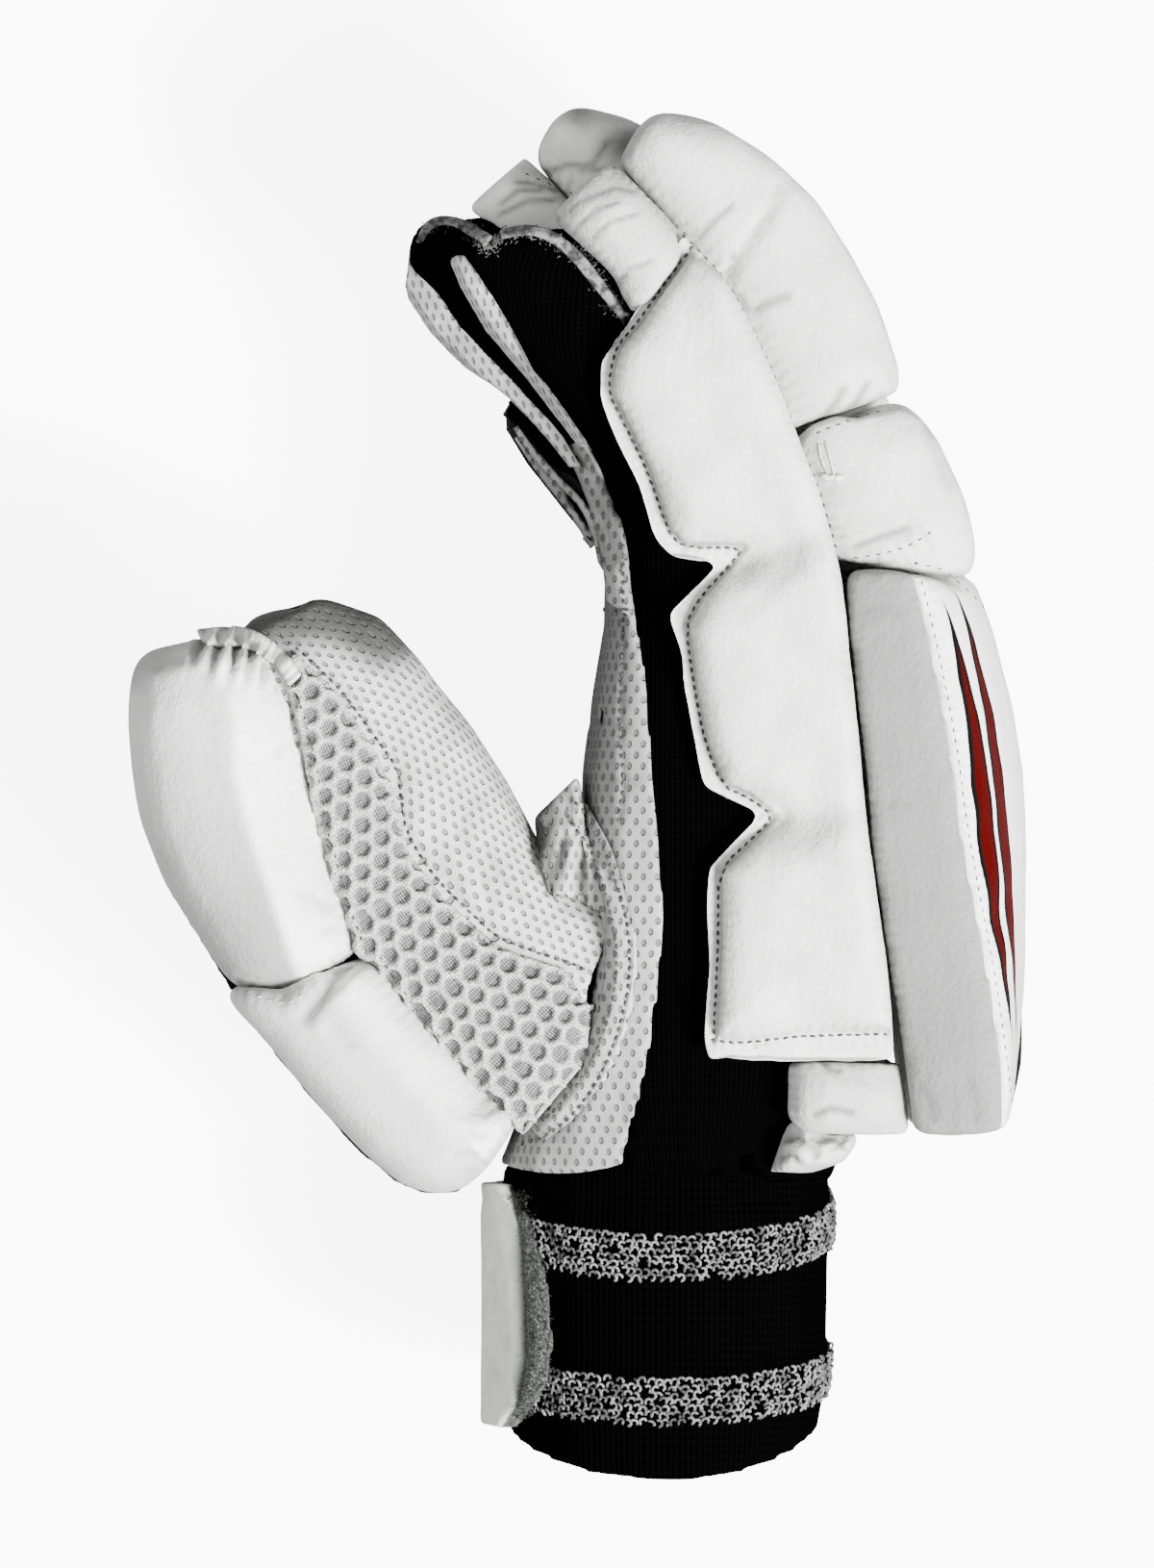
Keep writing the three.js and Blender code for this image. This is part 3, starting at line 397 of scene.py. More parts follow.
def build_grain(shader, given):
    """Pebbled leather skin: small cells over slower swells."""
    pebbles = shader.cells(given["Vector"], given["Scale"], "SMOOTH_F1")
    pores = shader.noise(given["Vector"], shader.math("MULTIPLY", given["Scale"], 2.3), 2.0)
    swell = shader.noise(given["Vector"], shader.math("MULTIPLY", given["Scale"], 0.12), 3.0)
    fine = shader.math("MULTIPLY", pebbles, 0.32)
    height = shader.math("ADD", fine, shader.math("MULTIPLY", pores, 0.35))
    return {"Height": shader.math("ADD", height, shader.math("MULTIPLY", swell, 0.35)), "Tone": swell}


def build_perforations(shader, given):
    """Staggered rows of small long holes: 1 inside a hole, 0 between them."""
    x, y, _ = shader.split(given["Vector"])
    row = shader.math("DIVIDE", y, given["Pitch"])
    odd = shader.math("MULTIPLY", shader.math("FLOORED_MODULO", shader.math("FLOOR", row), 2.0), 0.5)
    column = shader.math("ADD", shader.math("DIVIDE", x, given["Pitch"]), odd)
    across = shader.math("SUBTRACT", shader.math("FRACT", column), 0.5)
    up = shader.math("SUBTRACT", shader.math("FRACT", row), 0.5)
    wide = shader.math("MULTIPLY", shader.math("MULTIPLY", across, across), 2.0)
    tall = shader.math("MULTIPLY", shader.math("MULTIPLY", up, up), 0.75)
    radius = shader.math("SQRT", shader.math("ADD", wide, tall))
    rim = shader.math("ADD", given["Size"], 0.13)
    return {"Hole": shader.ramp(radius, given["Size"], rim, 1.0, 0.0)}


def build_ribs(shader, given):
    """Knitted ribs: rounded wales crossed by the steps of their loops."""
    x, y, _ = shader.split(given["Vector"])
    turn = shader.math("DIVIDE", 2 * math.pi, given["Pitch"])
    wale = shader.math("ABSOLUTE", shader.math("SINE", shader.math("MULTIPLY", x, turn)))
    step = shader.math("SINE", shader.math("MULTIPLY", y, shader.math("MULTIPLY", turn, 1.6)))
    return {"Height": shader.math("ADD", wale, shader.math("MULTIPLY", step, 0.25))}


GRAIN = node_group(
    "leather_grain",
    [("Vector", VECTOR, None), ("Scale", FLOAT, 900.0)],
    [("Height", FLOAT), ("Tone", FLOAT)],
    build_grain,
)
PERFORATIONS = node_group(
    "perforations",
    [("Vector", VECTOR, None), ("Pitch", FLOAT, 0.0023), ("Size", FLOAT, 0.2)],
    [("Hole", FLOAT)],
    build_perforations,
)
RIBS = node_group(
    "knit_ribs",
    [("Vector", VECTOR, None), ("Pitch", FLOAT, 0.0016)],
    [("Height", FLOAT)],
    build_ribs,
)


def finish_material(name, build, roughness, specular=0.5):
    """A material whose build fills the Principled shader's linked inputs."""
    material = bpy.data.materials.new(name)
    material.use_nodes = True
    shader = Shader(material.node_tree)
    principled = material.node_tree.nodes["Principled BSDF"]
    principled.inputs["Roughness"].default_value = roughness
    principled.inputs["Specular IOR Level"].default_value = specular
    for label, value in build(shader).items():
        shader.feed(principled.inputs[label], value)
    return material


# Greys of painted shade: on flanks and edges with some even tone, and down in seams and creases with some
# dirt
SHADE_AND_TONE_GREY = (0.1, 0.1, 0.099, 1)
SEAM_SHADE_AND_DIRT_GREY = (0.03, 0.03, 0.029, 1)


def worn_leather(shader, skin, bright, dull):
    """Clean leather, greyed by painted shade on flanks and edges and by some even tone, and darkest in
    seams and creases by painted shade with some dirt.
    """
    clean = shader.blend(shader.ramp(skin["Tone"], 0.3, 0.75), bright, dull)
    grey = shader.blend(shader.attribute("dull"), clean, SHADE_AND_TONE_GREY)
    dirt = shader.math("MULTIPLY", shader.attribute("crease"), 0.85)
    return shader.blend(dirt, grey, SEAM_SHADE_AND_DIRT_GREY)


def leather_look(bright, dull):
    """Grained leather with fine folds drawn out along the glove."""

    def build(shader):
        place = shader.coordinates()
        skin = shader.use(GRAIN, Vector=place, Scale=900.0)
        folds = shader.noise(shader.stretch(place, (1.0, 0.22, 1.0)), 620.0)
        height = shader.math("ADD", skin["Height"], shader.math("MULTIPLY", folds, 0.4))
        return {
            "Base Color": worn_leather(shader, skin, bright, dull),
            "Roughness": shader.ramp(skin["Height"], 0.2, 1.0, 0.62, 0.46),
            "Normal": shader.bump(height, 0.45),
        }

    return build


def perforated_look(bright, dull, hole_colour):
    """Soft leather with rows of perforations that follow the piece's own lie."""

    def build(shader):
        skin = shader.use(GRAIN, Vector=shader.coordinates(), Scale=1100.0)
        lie_of_piece = shader.attribute("lie", "Vector")
        hole = shader.use(PERFORATIONS, Vector=lie_of_piece, Pitch=0.0023, Size=0.2)["Hole"]
        # The leather with its painted shade on flanks and edges and down in seams and creases
        shaded_leather = worn_leather(shader, skin, bright, dull)
        dotted = shader.blend(shader.math("MULTIPLY", hole, 0.72), shaded_leather, hole_colour)
        height = shader.math("SUBTRACT", shader.math("MULTIPLY", skin["Height"], 0.3), hole)
        return {
            "Base Color": shader.blend(shader.attribute("bound"), dotted, (0.0006, 0.0006, 0.0006, 1)),
            "Normal": shader.bump(height, 0.5),
        }

    return build


# Printed bars of the back panel in metres: level either side of its middle, half width, half length
PRINTED_BARS = [(0.0432, 0.0031, 0.047), (0.0352, 0.0034, 0.05), (0.0, 0.009, 0.042)]
BARS_MIDDLE = -0.008
BAR_RED = (0.034, 0.0001, 0.0002, 1)
BAR_EDGE_BLACK = (0.002, 0.002, 0.002, 1)


def bar_mask(shader, level, run, centre, half_width, half_length):
    """Signed distance inside a long bar with drawn-out ends, in metres."""
    share = shader.math("DIVIDE", shader.math("SUBTRACT", run, BARS_MIDDLE), half_length)
    taper = shader.math("SUBTRACT", 1.0, shader.math("MULTIPLY", share, share))
    offset = shader.math("ABSOLUTE", shader.math("SUBTRACT", level, centre))
    return shader.math("SUBTRACT", shader.math("MULTIPLY", taper, half_width), offset)


def printed_leather(bright, dull):
    """Leather with plain parallel bars in dark red, each edged in black."""
    plain = leather_look(bright, dull)

    def build(shader):
        made = plain(shader)
        _, run, z = shader.split(shader.coordinates())
        level = shader.math("ABSOLUTE", shader.math("SUBTRACT", z, HAND_MIDDLE * MM))
        bars = [bar_mask(shader, level, run, *bar) for bar in PRINTED_BARS]
        inside = shader.math("MAXIMUM", shader.math("MAXIMUM", bars[0], bars[1]), bars[2])
        edged = shader.blend(shader.ramp(inside, 0.0, 0.00012), made["Base Color"], BAR_EDGE_BLACK)
        made["Base Color"] = shader.blend(shader.ramp(inside, 0.0011, 0.00122), edged, BAR_RED)
        return made

    return build


KNIT_DARK = (0.0004, 0.0004, 0.0004, 1)
KNIT_LIGHT = (0.0016, 0.0016, 0.0017, 1)


def knit_look(dark, light, pitch, depth):
    """Ribbed knit whose pitch is given in metres, faintly lit on its ribs."""

    def build(shader):
        place = shader.attribute("lie", "Vector")
        ribs = shader.use(RIBS, Vector=place, Pitch=pitch)["Height"]
        fluff = shader.noise(shader.coordinates(), 2600.0, 2.0)
        lit = shader.math("MULTIPLY", shader.ramp(ribs, 0.3, 1.2), fluff)
        return {
            "Base Color": shader.blend(shader.math("MULTIPLY", lit, 0.7), dark, light),
            "Normal": shader.bump(shader.math("ADD", ribs, fluff), depth),
        }

    return build


def net_look(shader):
    """White knitted strands, and grey fine net at the bottom of the holes."""
    place = shader.attribute("lie", "Vector")
    floor = shader.attribute("hole")
    fine = shader.use(RIBS, Vector=place, Pitch=0.0011)["Height"]
    fluff = shader.noise(shader.coordinates(), 2400.0, 3.0)
    strands = shader.blend(shader.ramp(fluff, 0.35, 0.7), (0.2, 0.2, 0.198, 1), (0.62, 0.62, 0.61, 1))
    grid = shader.ramp(shader.math("ADD", fine, shader.math("MULTIPLY", fluff, 0.6)), 0.6, 1.3)
    net = shader.blend(grid, (0.03, 0.03, 0.031, 1), (0.2, 0.2, 0.198, 1))
    height = shader.math("ADD", shader.math("MULTIPLY", fine, 0.5), fluff)
    return {"Base Color": shader.blend(floor, strands, net), "Normal": shader.bump(height, 0.3)}


def thread_look(dark, light, scale=700.0):
    """Speckled yarn, thread or felt."""

    def build(shader):
        place = shader.coordinates()
        speckle = shader.noise(place, scale, 2.0)
        twist = shader.noise(place, scale * 4, 1.0)
        return {
            "Base Color": shader.blend(shader.ramp(speckle, 0.36, 0.64), dark, light),
            "Normal": shader.bump(twist, 0.12),
        }

    return build


def strap_look(shader):
    """Pale tape that darkens into a fuzzy band, with a groove between painted near black as shade."""
    place = shader.coordinates()
    pale = shader.blend(shader.noise(place, 260.0, 2.0), (0.4, 0.43, 0.37, 1), (0.72, 0.74, 0.69, 1))
    speckle = shader.ramp(shader.noise(place, 1500.0, 3.0), 0.4, 0.7)
    dark = shader.blend(speckle, (0.008, 0.009, 0.007, 1), (0.08, 0.085, 0.075, 1))
    tape = shader.blend(shader.attribute("dull"), pale, dark)
    return {
        "Base Color": shader.blend(shader.attribute("crease"), tape, (0.003, 0.003, 0.003, 1)),
        "Normal": shader.bump(shader.noise(place, 2600.0, 2.0), 0.3),
    }


# Each material's look and roughness, and its specular level where that isn't the usual one
LOOKS = {
    "white_leather": (leather_look((0.66, 0.66, 0.65, 1), (0.54, 0.54, 0.532, 1)), 0.6, 0.3),
    "printed_leather": (printed_leather((0.84, 0.84, 0.83, 1), (0.76, 0.76, 0.75, 1)), 0.6, 0.02),
    # A lit copy of the white leather, brighter to paint the light on the thumb guards
    "painted_lit_leather": (leather_look((0.84, 0.84, 0.83, 1), (0.74, 0.74, 0.73, 1)), 0.6, 0.3),
    "perforated_leather": (
        perforated_look((0.5, 0.5, 0.495, 1), (0.36, 0.36, 0.355, 1), (0.06, 0.06, 0.06, 1)),
        0.66,
        0.15,
    ),
    "black_knit": (knit_look(KNIT_DARK, KNIT_LIGHT, 0.0018, 0.2), 0.95, 0.0),
    "elastic_cuff": (knit_look(KNIT_DARK, KNIT_LIGHT, 0.0026, 0.35), 0.95, 0.0),
    "spacer_mesh": (net_look, 0.8),
    "strap_tape": (strap_look, 0.85),
    "strap_fuzz": (thread_look((0.004, 0.005, 0.004, 1), (0.055, 0.06, 0.052, 1)), 0.9),
    "black_backing": (thread_look((0.0006, 0.0006, 0.0006, 1), (0.003, 0.003, 0.003, 1)), 0.8, 0.05),
    "stitch_thread": (thread_look((0.006, 0.006, 0.006, 1), (0.05, 0.05, 0.05, 1)), 0.7),
    "pale_thread": (thread_look((0.4, 0.4, 0.39, 1), (0.7, 0.7, 0.69, 1)), 0.75),
    "loop_yarn": (thread_look((0.02, 0.02, 0.02, 1), (0.14, 0.14, 0.14, 1), 300.0), 0.85),
    "raw_edge": (thread_look((0.015, 0.015, 0.015, 1), (0.16, 0.16, 0.158, 1), 500.0), 0.9),
}
MATERIALS = {name: finish_material(name, *look) for name, look in LOOKS.items()}


def dress(obj, material, node=None):
    """Material, smooth shading, body and, where a piece stands for a node, that node hidden."""
    obj.data.materials.clear()
    obj.data.materials.append(MATERIALS[material])
    smooth_shading(obj)
    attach(obj, "root")
    if node:
        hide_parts(node)
    return obj


# Floor, light and camera
FLOOR_GLOW = 7.0
CAMERA_PLACE = (0.0002, -0.0003, 3.085)


def build_stage():
    bm = bmesh.new()
    bmesh.ops.create_grid(bm, x_segments=1, y_segments=1, size=3.0)
    floor = from_bmesh("floor", bm)
    pale = bpy.data.materials.new("floor_paper")
    pale.use_nodes = True
    shader = Shader(pale.node_tree)
    tone = shader.ramp(shader.noise(shader.coordinates(), 6.0), 0.3, 0.7)
    principled = pale.node_tree.nodes["Principled BSDF"]
    principled.inputs["Roughness"].default_value = 0.9
    principled.inputs["Specular IOR Level"].default_value = 0.0
    seen = shader.add("ShaderNodeLightPath").outputs["Is Camera Ray"]
    paper = shader.blend(tone, (0.64, 0.64, 0.64, 1), (0.66, 0.66, 0.66, 1))
    shader.feed(principled.inputs["Base Color"], shader.blend(seen, (0.3, 0.3, 0.3, 1), paper))
    principled.inputs["Emission Color"].default_value = (1, 1, 1, 1)
    shader.feed(principled.inputs["Emission Strength"], shader.math("MULTIPLY", seen, FLOOR_GLOW))
    floor.data.materials.append(pale)
    floor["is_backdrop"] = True

    world = bpy.data.worlds.new("studio")
    world.use_nodes = True
    world.node_tree.nodes["Background"].inputs["Color"].default_value = (1, 1, 1, 1)
    world.node_tree.nodes["Background"].inputs["Strength"].default_value = 0.2
    bpy.context.scene.world = world


def soft_sun(name, toward, spread, strength):
    """Even light all over the floor, soft as from a wide cloth in front of the lamp."""
    lamp = bpy.data.lights.new(name, "SUN")
    lamp.angle = math.radians(spread)
    lamp.energy = strength
    obj = bpy.data.objects.new(name, lamp)
    obj.rotation_euler = Vector(toward).to_track_quat("Z", "Y").to_euler()
    bpy.context.scene.collection.objects.link(obj)
    obj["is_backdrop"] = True


def build_lights():
    soft_sun("key_right", (0.68, -0.42, 0.9), 22.0, 22.0)
    soft_sun("fill_front", (-0.45, -0.1, 1.0), 60.0, 2.8)


def build_camera():
    data = bpy.data.cameras.new("camera")
    data.sensor_fit = "VERTICAL"
    data.sensor_height = 36.0
    data.lens = 329.0
    data.clip_start = 0.05
    data.clip_end = 50.0
    camera = bpy.data.objects.new("camera", data)
    camera.location = CAMERA_PLACE
    bpy.context.scene.collection.objects.link(camera)
    bpy.context.scene.camera = camera


build_stage()
build_lights()
build_camera()


# Shaping tools
def mark(obj, name, values):
    """A named number at every vertex, for the materials."""
    attribute = obj.data.attributes.get(name) or obj.data.attributes.new(name, "FLOAT", "POINT")
    attribute.data.foreach_set("value", np.asarray(values, dtype=float))


def lie(obj, across, along):
    """Coordinates that follow the piece, in metres, for perforations and ribs."""
    flat = np.stack([across, along, np.zeros(len(across))], axis=1) * MM
    attribute = obj.data.attributes.new("lie", "FLOAT_VECTOR", "POINT")
    attribute.data.foreach_set("vector", flat.ravel())


def edge_distance(points, outline):
    """How far inside a closed outline each point lies; negative outside."""
    closed = np.concatenate([outline, outline[:1]])
    distance, _, _ = along_line(points[:, :2], closed)
    x, y = points[:, 0], points[:, 1]
    inside = np.zeros(len(points), dtype=bool)
    for start, end in zip(closed[:-1], closed[1:]):
        crosses = (start[1] > y) != (end[1] > y)
        slope = (end[0] - start[0]) * (y - start[1]) / ((end[1] - start[1]) or 1e-9) + start[0]
        inside ^= crosses & (x < slope)
    return np.where(inside, distance, -distance)


def nearest_on(line, points):
    """The nearest place on a polyline for each point."""
    best = np.full(len(points), 1e9)
    found = np.array(points)
    for start, end in zip(line[:-1], line[1:]):
        run = end - start
        share = np.clip(((points - start) @ run) / (run @ run), 0, 1)
        near = start + share[:, None] * run
        away = np.linalg.norm(points - near, axis=1)
        closer = away < best
        best = np.where(closer, away, best)
        found = np.where(closer[:, None], near, found)
    return found


class Form:
    """A piece being shaped: its points and normals, and moves made to them."""

    def __init__(self, obj):
        self.obj = obj
        self.points = coords(obj)
        self.ways = normals(obj)
        # Painted shade down in furrows, seams and folds, with some dirt, for the materials
        self.dirt = np.zeros(len(self.points))
        # Painted shade on flanks and edges, with some even tone of the leather and the strap's own dark
        # band
        self.dull = np.zeros(len(self.points))
        self.bound = np.zeros(len(self.points))

    def top(self, low=0.25):
        """1 where the skin faces up, 0 where it faces sideways or down."""
        return smooth_step(self.ways[:, 2], 0.0, low)

    def away(self):
        """1 on the side walls, 0 where the skin faces up or down."""
        return 1 - smooth_step(np.abs(self.ways[:, 2]), 0.05, 0.6)

    def facing(self, way, low=0.1, high=0.5):
        return smooth_step(self.ways @ np.asarray(way, dtype=float), low, high)

    def move(self, amount):
        self.points = self.points + self.ways * amount[:, None]

    def line(self, pixels):
        """Distance from a line drawn on the photograph, the place along it and the side."""
        return along_line(self.points[:, :2], spot(pixels))

    def crease(self, pixels, depth, width, where, lip=0.35, dark=0.8):
        """A furrow along a line on the photograph, with a raised lip at both sides and painted shade down
        in it.
        """
        distance, place, _ = self.line(pixels)
        total = place.max() or 1.0
        ends = smooth_step(np.minimum(place, total - place), 0, total * 0.14)
        near = np.where(distance < width * 4, 1.0, 0.0)
        furrow = -bump(distance, width) * depth + bump(distance - width * 1.9, width) * depth * lip
        strength = ends * near * where
        self.move(furrow * strength)
        self.dirt = np.maximum(self.dirt, bump(distance, width * 0.7) * strength * dark)

    def creases(self, rows, where, lip=0.35, dark=0.8):
        """One furrow for each row, which holds a line, a depth and a width."""
        for line, depth, width in rows:
            self.crease(line, depth, width, where, lip, dark)

    def seam(self, pixels, depth, width, where, dark):
        """A sewn seam: a narrow valley with full cloth at both sides, whole to its ends, with painted shade
        along it.
        """
        distance, _, _ = self.line(pixels)
        self.move(-bump(distance, width) * depth * where)
        self.dirt = np.maximum(self.dirt, bump(distance, width * 0.5) * where * dark)

    def ripples(self, pixels, pitch, depth, reach, where, seed):
        """Gathers square to a line: waves along it that fade away from it, with painted shade in their
        troughs.
        """
        distance, place, _ = self.line(pixels)
        uneven = wobble(self.points, pitch * 5, seed) * 0.9
        waves = np.sin(place / pitch * 2 * math.pi + uneven * 3)
        sharp = np.sign(waves) * np.abs(waves) ** 0.8
        patches = 0.55 + 0.45 * wobble(self.points, pitch * 3, seed + 9)
        fade = np.exp(-((distance / reach) ** 1.5)) * patches
        strength = fade * where
        self.move(sharp * depth * strength)
        self.dirt = np.maximum(self.dirt, np.clip(-sharp, 0, 1) * strength * 0.7)

    def pull(self, pixel, reach, shift):
        """Moves everything near one place of the photograph by a shift in millimetres."""
        away = np.linalg.norm(self.points[:, :2] - spot([pixel])[0], axis=1)
        share = 1 - smooth_step(away, reach * 0.15, reach)
        self.points = self.points + np.asarray(shift, dtype=float) * share[:, None]

    def trim(self, pixels, side, factor=1.0):
        """Brings what lies past a line on the photograph back to the line."""
        line = spot(pixels)
        _, _, hand = self.line(pixels)
        near = nearest_on(line, self.points[:, :2])
        back = np.where((hand * side > 0)[:, None], (near - self.points[:, :2]) * factor, 0.0)
        self.points = self.points + np.column_stack([back, np.zeros(len(back))])

    def done(self):
        set_coords(self.obj, self.points)
        mark(self.obj, "crease", np.clip(self.dirt, 0, 1))
        mark(self.obj, "dull", np.clip(self.dull, 0, 1))
        mark(self.obj, "bound", np.clip(self.bound, 0, 1))


def leather_pad(
    node, shape=None, voxel=2.4, cap=1.0, smoothing=5, material="white_leather"
):
    """A stuffed leather piece from its solid: filled as cloth, made finer, shaped and dressed."""
    obj = copy_of(node, node + "_padded")
    remesh(obj, voxel, smoothing)
    inflate(obj, cap)
    subdivide(obj)
    form = Form(obj)
    slow = wobble(form.points, 26.0, len(node)) * 0.22 + wobble(form.points, 9.0, len(node) + 3) * 0.05
    form.move(slow)
    if shape:
        shape(form)
    # Painted shade: side walls greyer than the faces that look up
    form.dull = np.maximum(form.dull, form.away() * 0.45)
    form.done()
    dress(obj, material, node)
    return obj


# Rolls over the fingers
def upper_shade(form, pixels, reach, strength):
    """Painted shade: leather greyer towards an edge of the side view."""
    distance, _, _ = form.line(pixels)
    return (1 - smooth_step(distance, 0, reach)) * strength


def shape_tip_roll_middle(form):
    top = form.top()
    under_the_tip = [(600, 104), (620, 98), (677, 113), (672, 140), (650, 150)]
    # Painted shadow over the top of the tip, dark with a crisp edge
    form.dull = 0.05 + upper_shade(form, under_the_tip, 8.5, 0.95)
    form.crease([(560, 182), (590, 170), (640, 178)], 0.35, 1.3, top)
    form.crease([(600, 178), (618, 168), (636, 140)], 0.3, 1.1, top)
    form.ripples([(546, 176), (560, 184), (595, 200)], 2.4, 0.12, 4.0, top, 3)


def shape_tip_side_index(form):
    form.pull((694, 276), 13.0, (2.8, -1.8, 0.6))
    form.pull((662, 322), 9.0, (0.6, -2.6, 0.3))
    top = form.top()
    # Painted shade, greyer towards the upper edge
    form.dull = 0.3 + 0.3 * upper_shade(form, [(571, 228), (600, 200), (640, 182)], 10, 1.0)
    form.creases((
        ([(584, 232), (604, 214), (640, 200), (668, 206)], 0.14, 0.9),
        ([(596, 244), (622, 222), (650, 214)], 0.1, 0.8),
        ([(612, 258), (634, 236), (668, 226)], 0.08, 0.8),
        ([(640, 300), (656, 284), (684, 274)], 0.16, 0.8),
    ), top)
    form.ripples([(571, 228), (617, 269), (650, 317)], 2.2, 0.11, 3.5, top, 5)
    form.ripples([(635, 176), (713, 247)], 2.0, 0.1, 3.0, top, 6)


def shape_tip_side_middle(form):
    top = form.top()
    # Painted shade, greyer towards the upper edge
    form.dull = 0.12 * upper_shade(form, [(545, 176), (575, 190), (600, 204)], 7, 1.0)
    form.creases((
        ([(516, 214), (540, 196), (570, 196)], 0.26, 1.0),
        ([(512, 226), (548, 208), (584, 206)], 0.22, 0.9),
        ([(530, 186), (556, 190), (584, 198)], 0.16, 0.8),
    ), top)


def shape_tip_roll_index(form):
    top = form.top()
    # Painted shade towards the top edge and along the seam edge
    form.dull = 0.12 + upper_shade(form, [(640, 150), (676, 113), (740, 126)], 9, 0.55)
    form.dull += upper_shade(form, [(637, 169), (712, 247), (776, 327), (812, 404), (832, 457)], 12, 0.25)
    form.seam([(756, 292), (764, 276), (784, 244), (800, 223)], 1.3, 1.5, top * 0.95, 0.55)
    form.crease([(800, 223), (806, 206), (812, 190)], 0.5, 1.6, top, 0.3, 0.3)
    form.creases((
        ([(722, 256), (744, 232), (766, 214)], 0.14, 1.2),
        ([(778, 330), (800, 318), (826, 310)], 0.07, 1.6),
        ([(846, 448), (866, 424), (880, 400)], 0.16, 1.4),
        ([(870, 440), (890, 420), (904, 396)], 0.14, 1.4),
        ([(744, 296), (757, 283), (764, 262)], 0.5, 0.7),
        ([(756, 306), (770, 312), (776, 330)], 0.3, 0.7),
    ), top)
    form.ripples([(637, 169), (712, 247), (756, 292)], 2.6, 0.08, 4.0, top, 7)
    form.ripples([(776, 327), (812, 404), (832, 457)], 2.6, 0.07, 4.0, top, 8)
    form.ripples([(832, 457), (880, 437), (939, 411)], 2.8, 0.08, 4.5, top, 9)


def shape_knuckle_index(form):
    form.pull((856, 452), 9.0, (-0.3, 2.4, 0.0))
    top = form.top()
    # Painted shade towards the edge
    form.dull = 0.1 + upper_shade(form, [(834, 463), (852, 507), (871, 571)], 12, 0.3)
    form.seam([(906, 426), (938, 421), (963, 431), (972, 446)], 0.9, 1.1, top, 0.5)
    form.crease([(960, 437), (972, 470), (990, 514)], 0.4, 1.8, top, 0.3, 0.25)
    form.crease([(880, 574), (914, 560), (950, 548)], 0.4, 1.3, top)
    form.ripples([(876, 584), (919, 578), (967, 554)], 2.6, 0.1, 4.5, top, 12)
    form.ripples([(834, 463), (852, 507), (871, 571)], 2.4, 0.07, 3.5, top, 13)


leather_pad("tip_roll_middle", shape_tip_roll_middle)
leather_pad("tip_side_middle", shape_tip_side_middle, voxel=1.8, cap=0.6)
leather_pad("tip_roll_index", shape_tip_roll_index)
leather_pad("tip_side_index", shape_tip_side_index, voxel=1.8, cap=0.6)
leather_pad("knuckle_roll_index", shape_knuckle_index, voxel=2.0)
for finger in ("ring", "little"):
    leather_pad("tip_roll_" + finger, None, voxel=2.8)
for finger in ("middle", "ring", "little"):
    leather_pad("knuckle_roll_" + finger, None, voxel=2.8)


# Side bars: three lobes in one sewn strip, seen whole on the index side
BAR_FOOT_EDGE = [(734, 1105), (769, 1096), (816, 1086), (875, 1087), (927, 1086)]
BAR_RIGHT_EDGE = [
    (713, 247), (756, 292), (776, 327), (812, 404), (834, 463), (852, 507), (871, 571), (879, 610),
    (884, 683), (895, 763), (906, 880), (917, 957), (929, 1036), (933, 1080),
]
BAR_STITCHES = [
    (718, 262), (690, 300), (663, 338), (642, 362), (635, 386), (633, 412), (651, 447), (673, 492),
    (694, 554), (710, 571), (772, 571), (763, 584), (727, 622), (712, 651), (721, 715), (732, 772),
    (750, 817), (779, 830), (804, 849), (787, 866), (746, 904), (746, 977), (743, 1042), (741, 1080),
]
BAR_FOOT_STITCHES = [(741, 1080), (770, 1083), (822, 1076), (870, 1074), (928, 1073)]


# Top and rounded edge of the bar's flat flange, and the room left above its lobes for the filling
FLANGE_TOP = 104.6
FLANGE_EDGE = 103.4
LOBE_ROOM = 0.8


def quarter_round(share):
    """Rises steeply from 0 and levels out at 1, as the side of a stuffed form does."""
    kept = 1 - np.clip(share, 0, 1)
    return np.sqrt(1 - kept * kept)


def side_bar_height(points, crown):
    """How far the leather stands over the flat flange."""
    body = spot(BAR_STITCHES + BAR_FOOT_STITCHES[1:] + BAR_RIGHT_EDGE[::-1][:-1])
    inside = edge_distance(points, body)
    right, _, _ = along_line(points[:, :2], spot(BAR_RIGHT_EDGE))
    left, _, _ = along_line(points[:, :2], spot(BAR_STITCHES))
    lean = smooth_step(right / (right + left + 0.01), 0.15, 0.6)
    width = 4.5 + 8.5 * lean
    height = crown * quarter_round(inside / width)
    height -= 1.3 * lean * smooth_step(inside, 2, 10)
    for valley, depth, reach in (
        ([(772, 586), (806, 574), (836, 560), (868, 548)], 4.4, 4.6),
        ([(800, 850), (830, 846), (862, 840), (886, 834)], 4.4, 4.8),
    ):
        distance, place, _ = along_line(points[:, :2], spot(valley))
        fade = 1 - 0.55 * smooth_step(place, 2, place.max() + 0.01)
        height -= bump(distance, reach) * depth * fade * smooth_step(height, 0.5, 5)
    return np.where(inside > 0, np.maximum(height, 0), 0)


def index_bar_base(form):
    """The three lobes, raised over the flat flange of the bar."""
    up = form.ways[:, 2] > 0.12
    height = FLANGE_TOP + side_bar_height(form.points, BAR_TOP - FLANGE_TOP - LOBE_ROOM)
    high = form.points[:, 2] > FLANGE_EDGE
    form.points[:, 2] = np.where(up & high, height, form.points[:, 2])


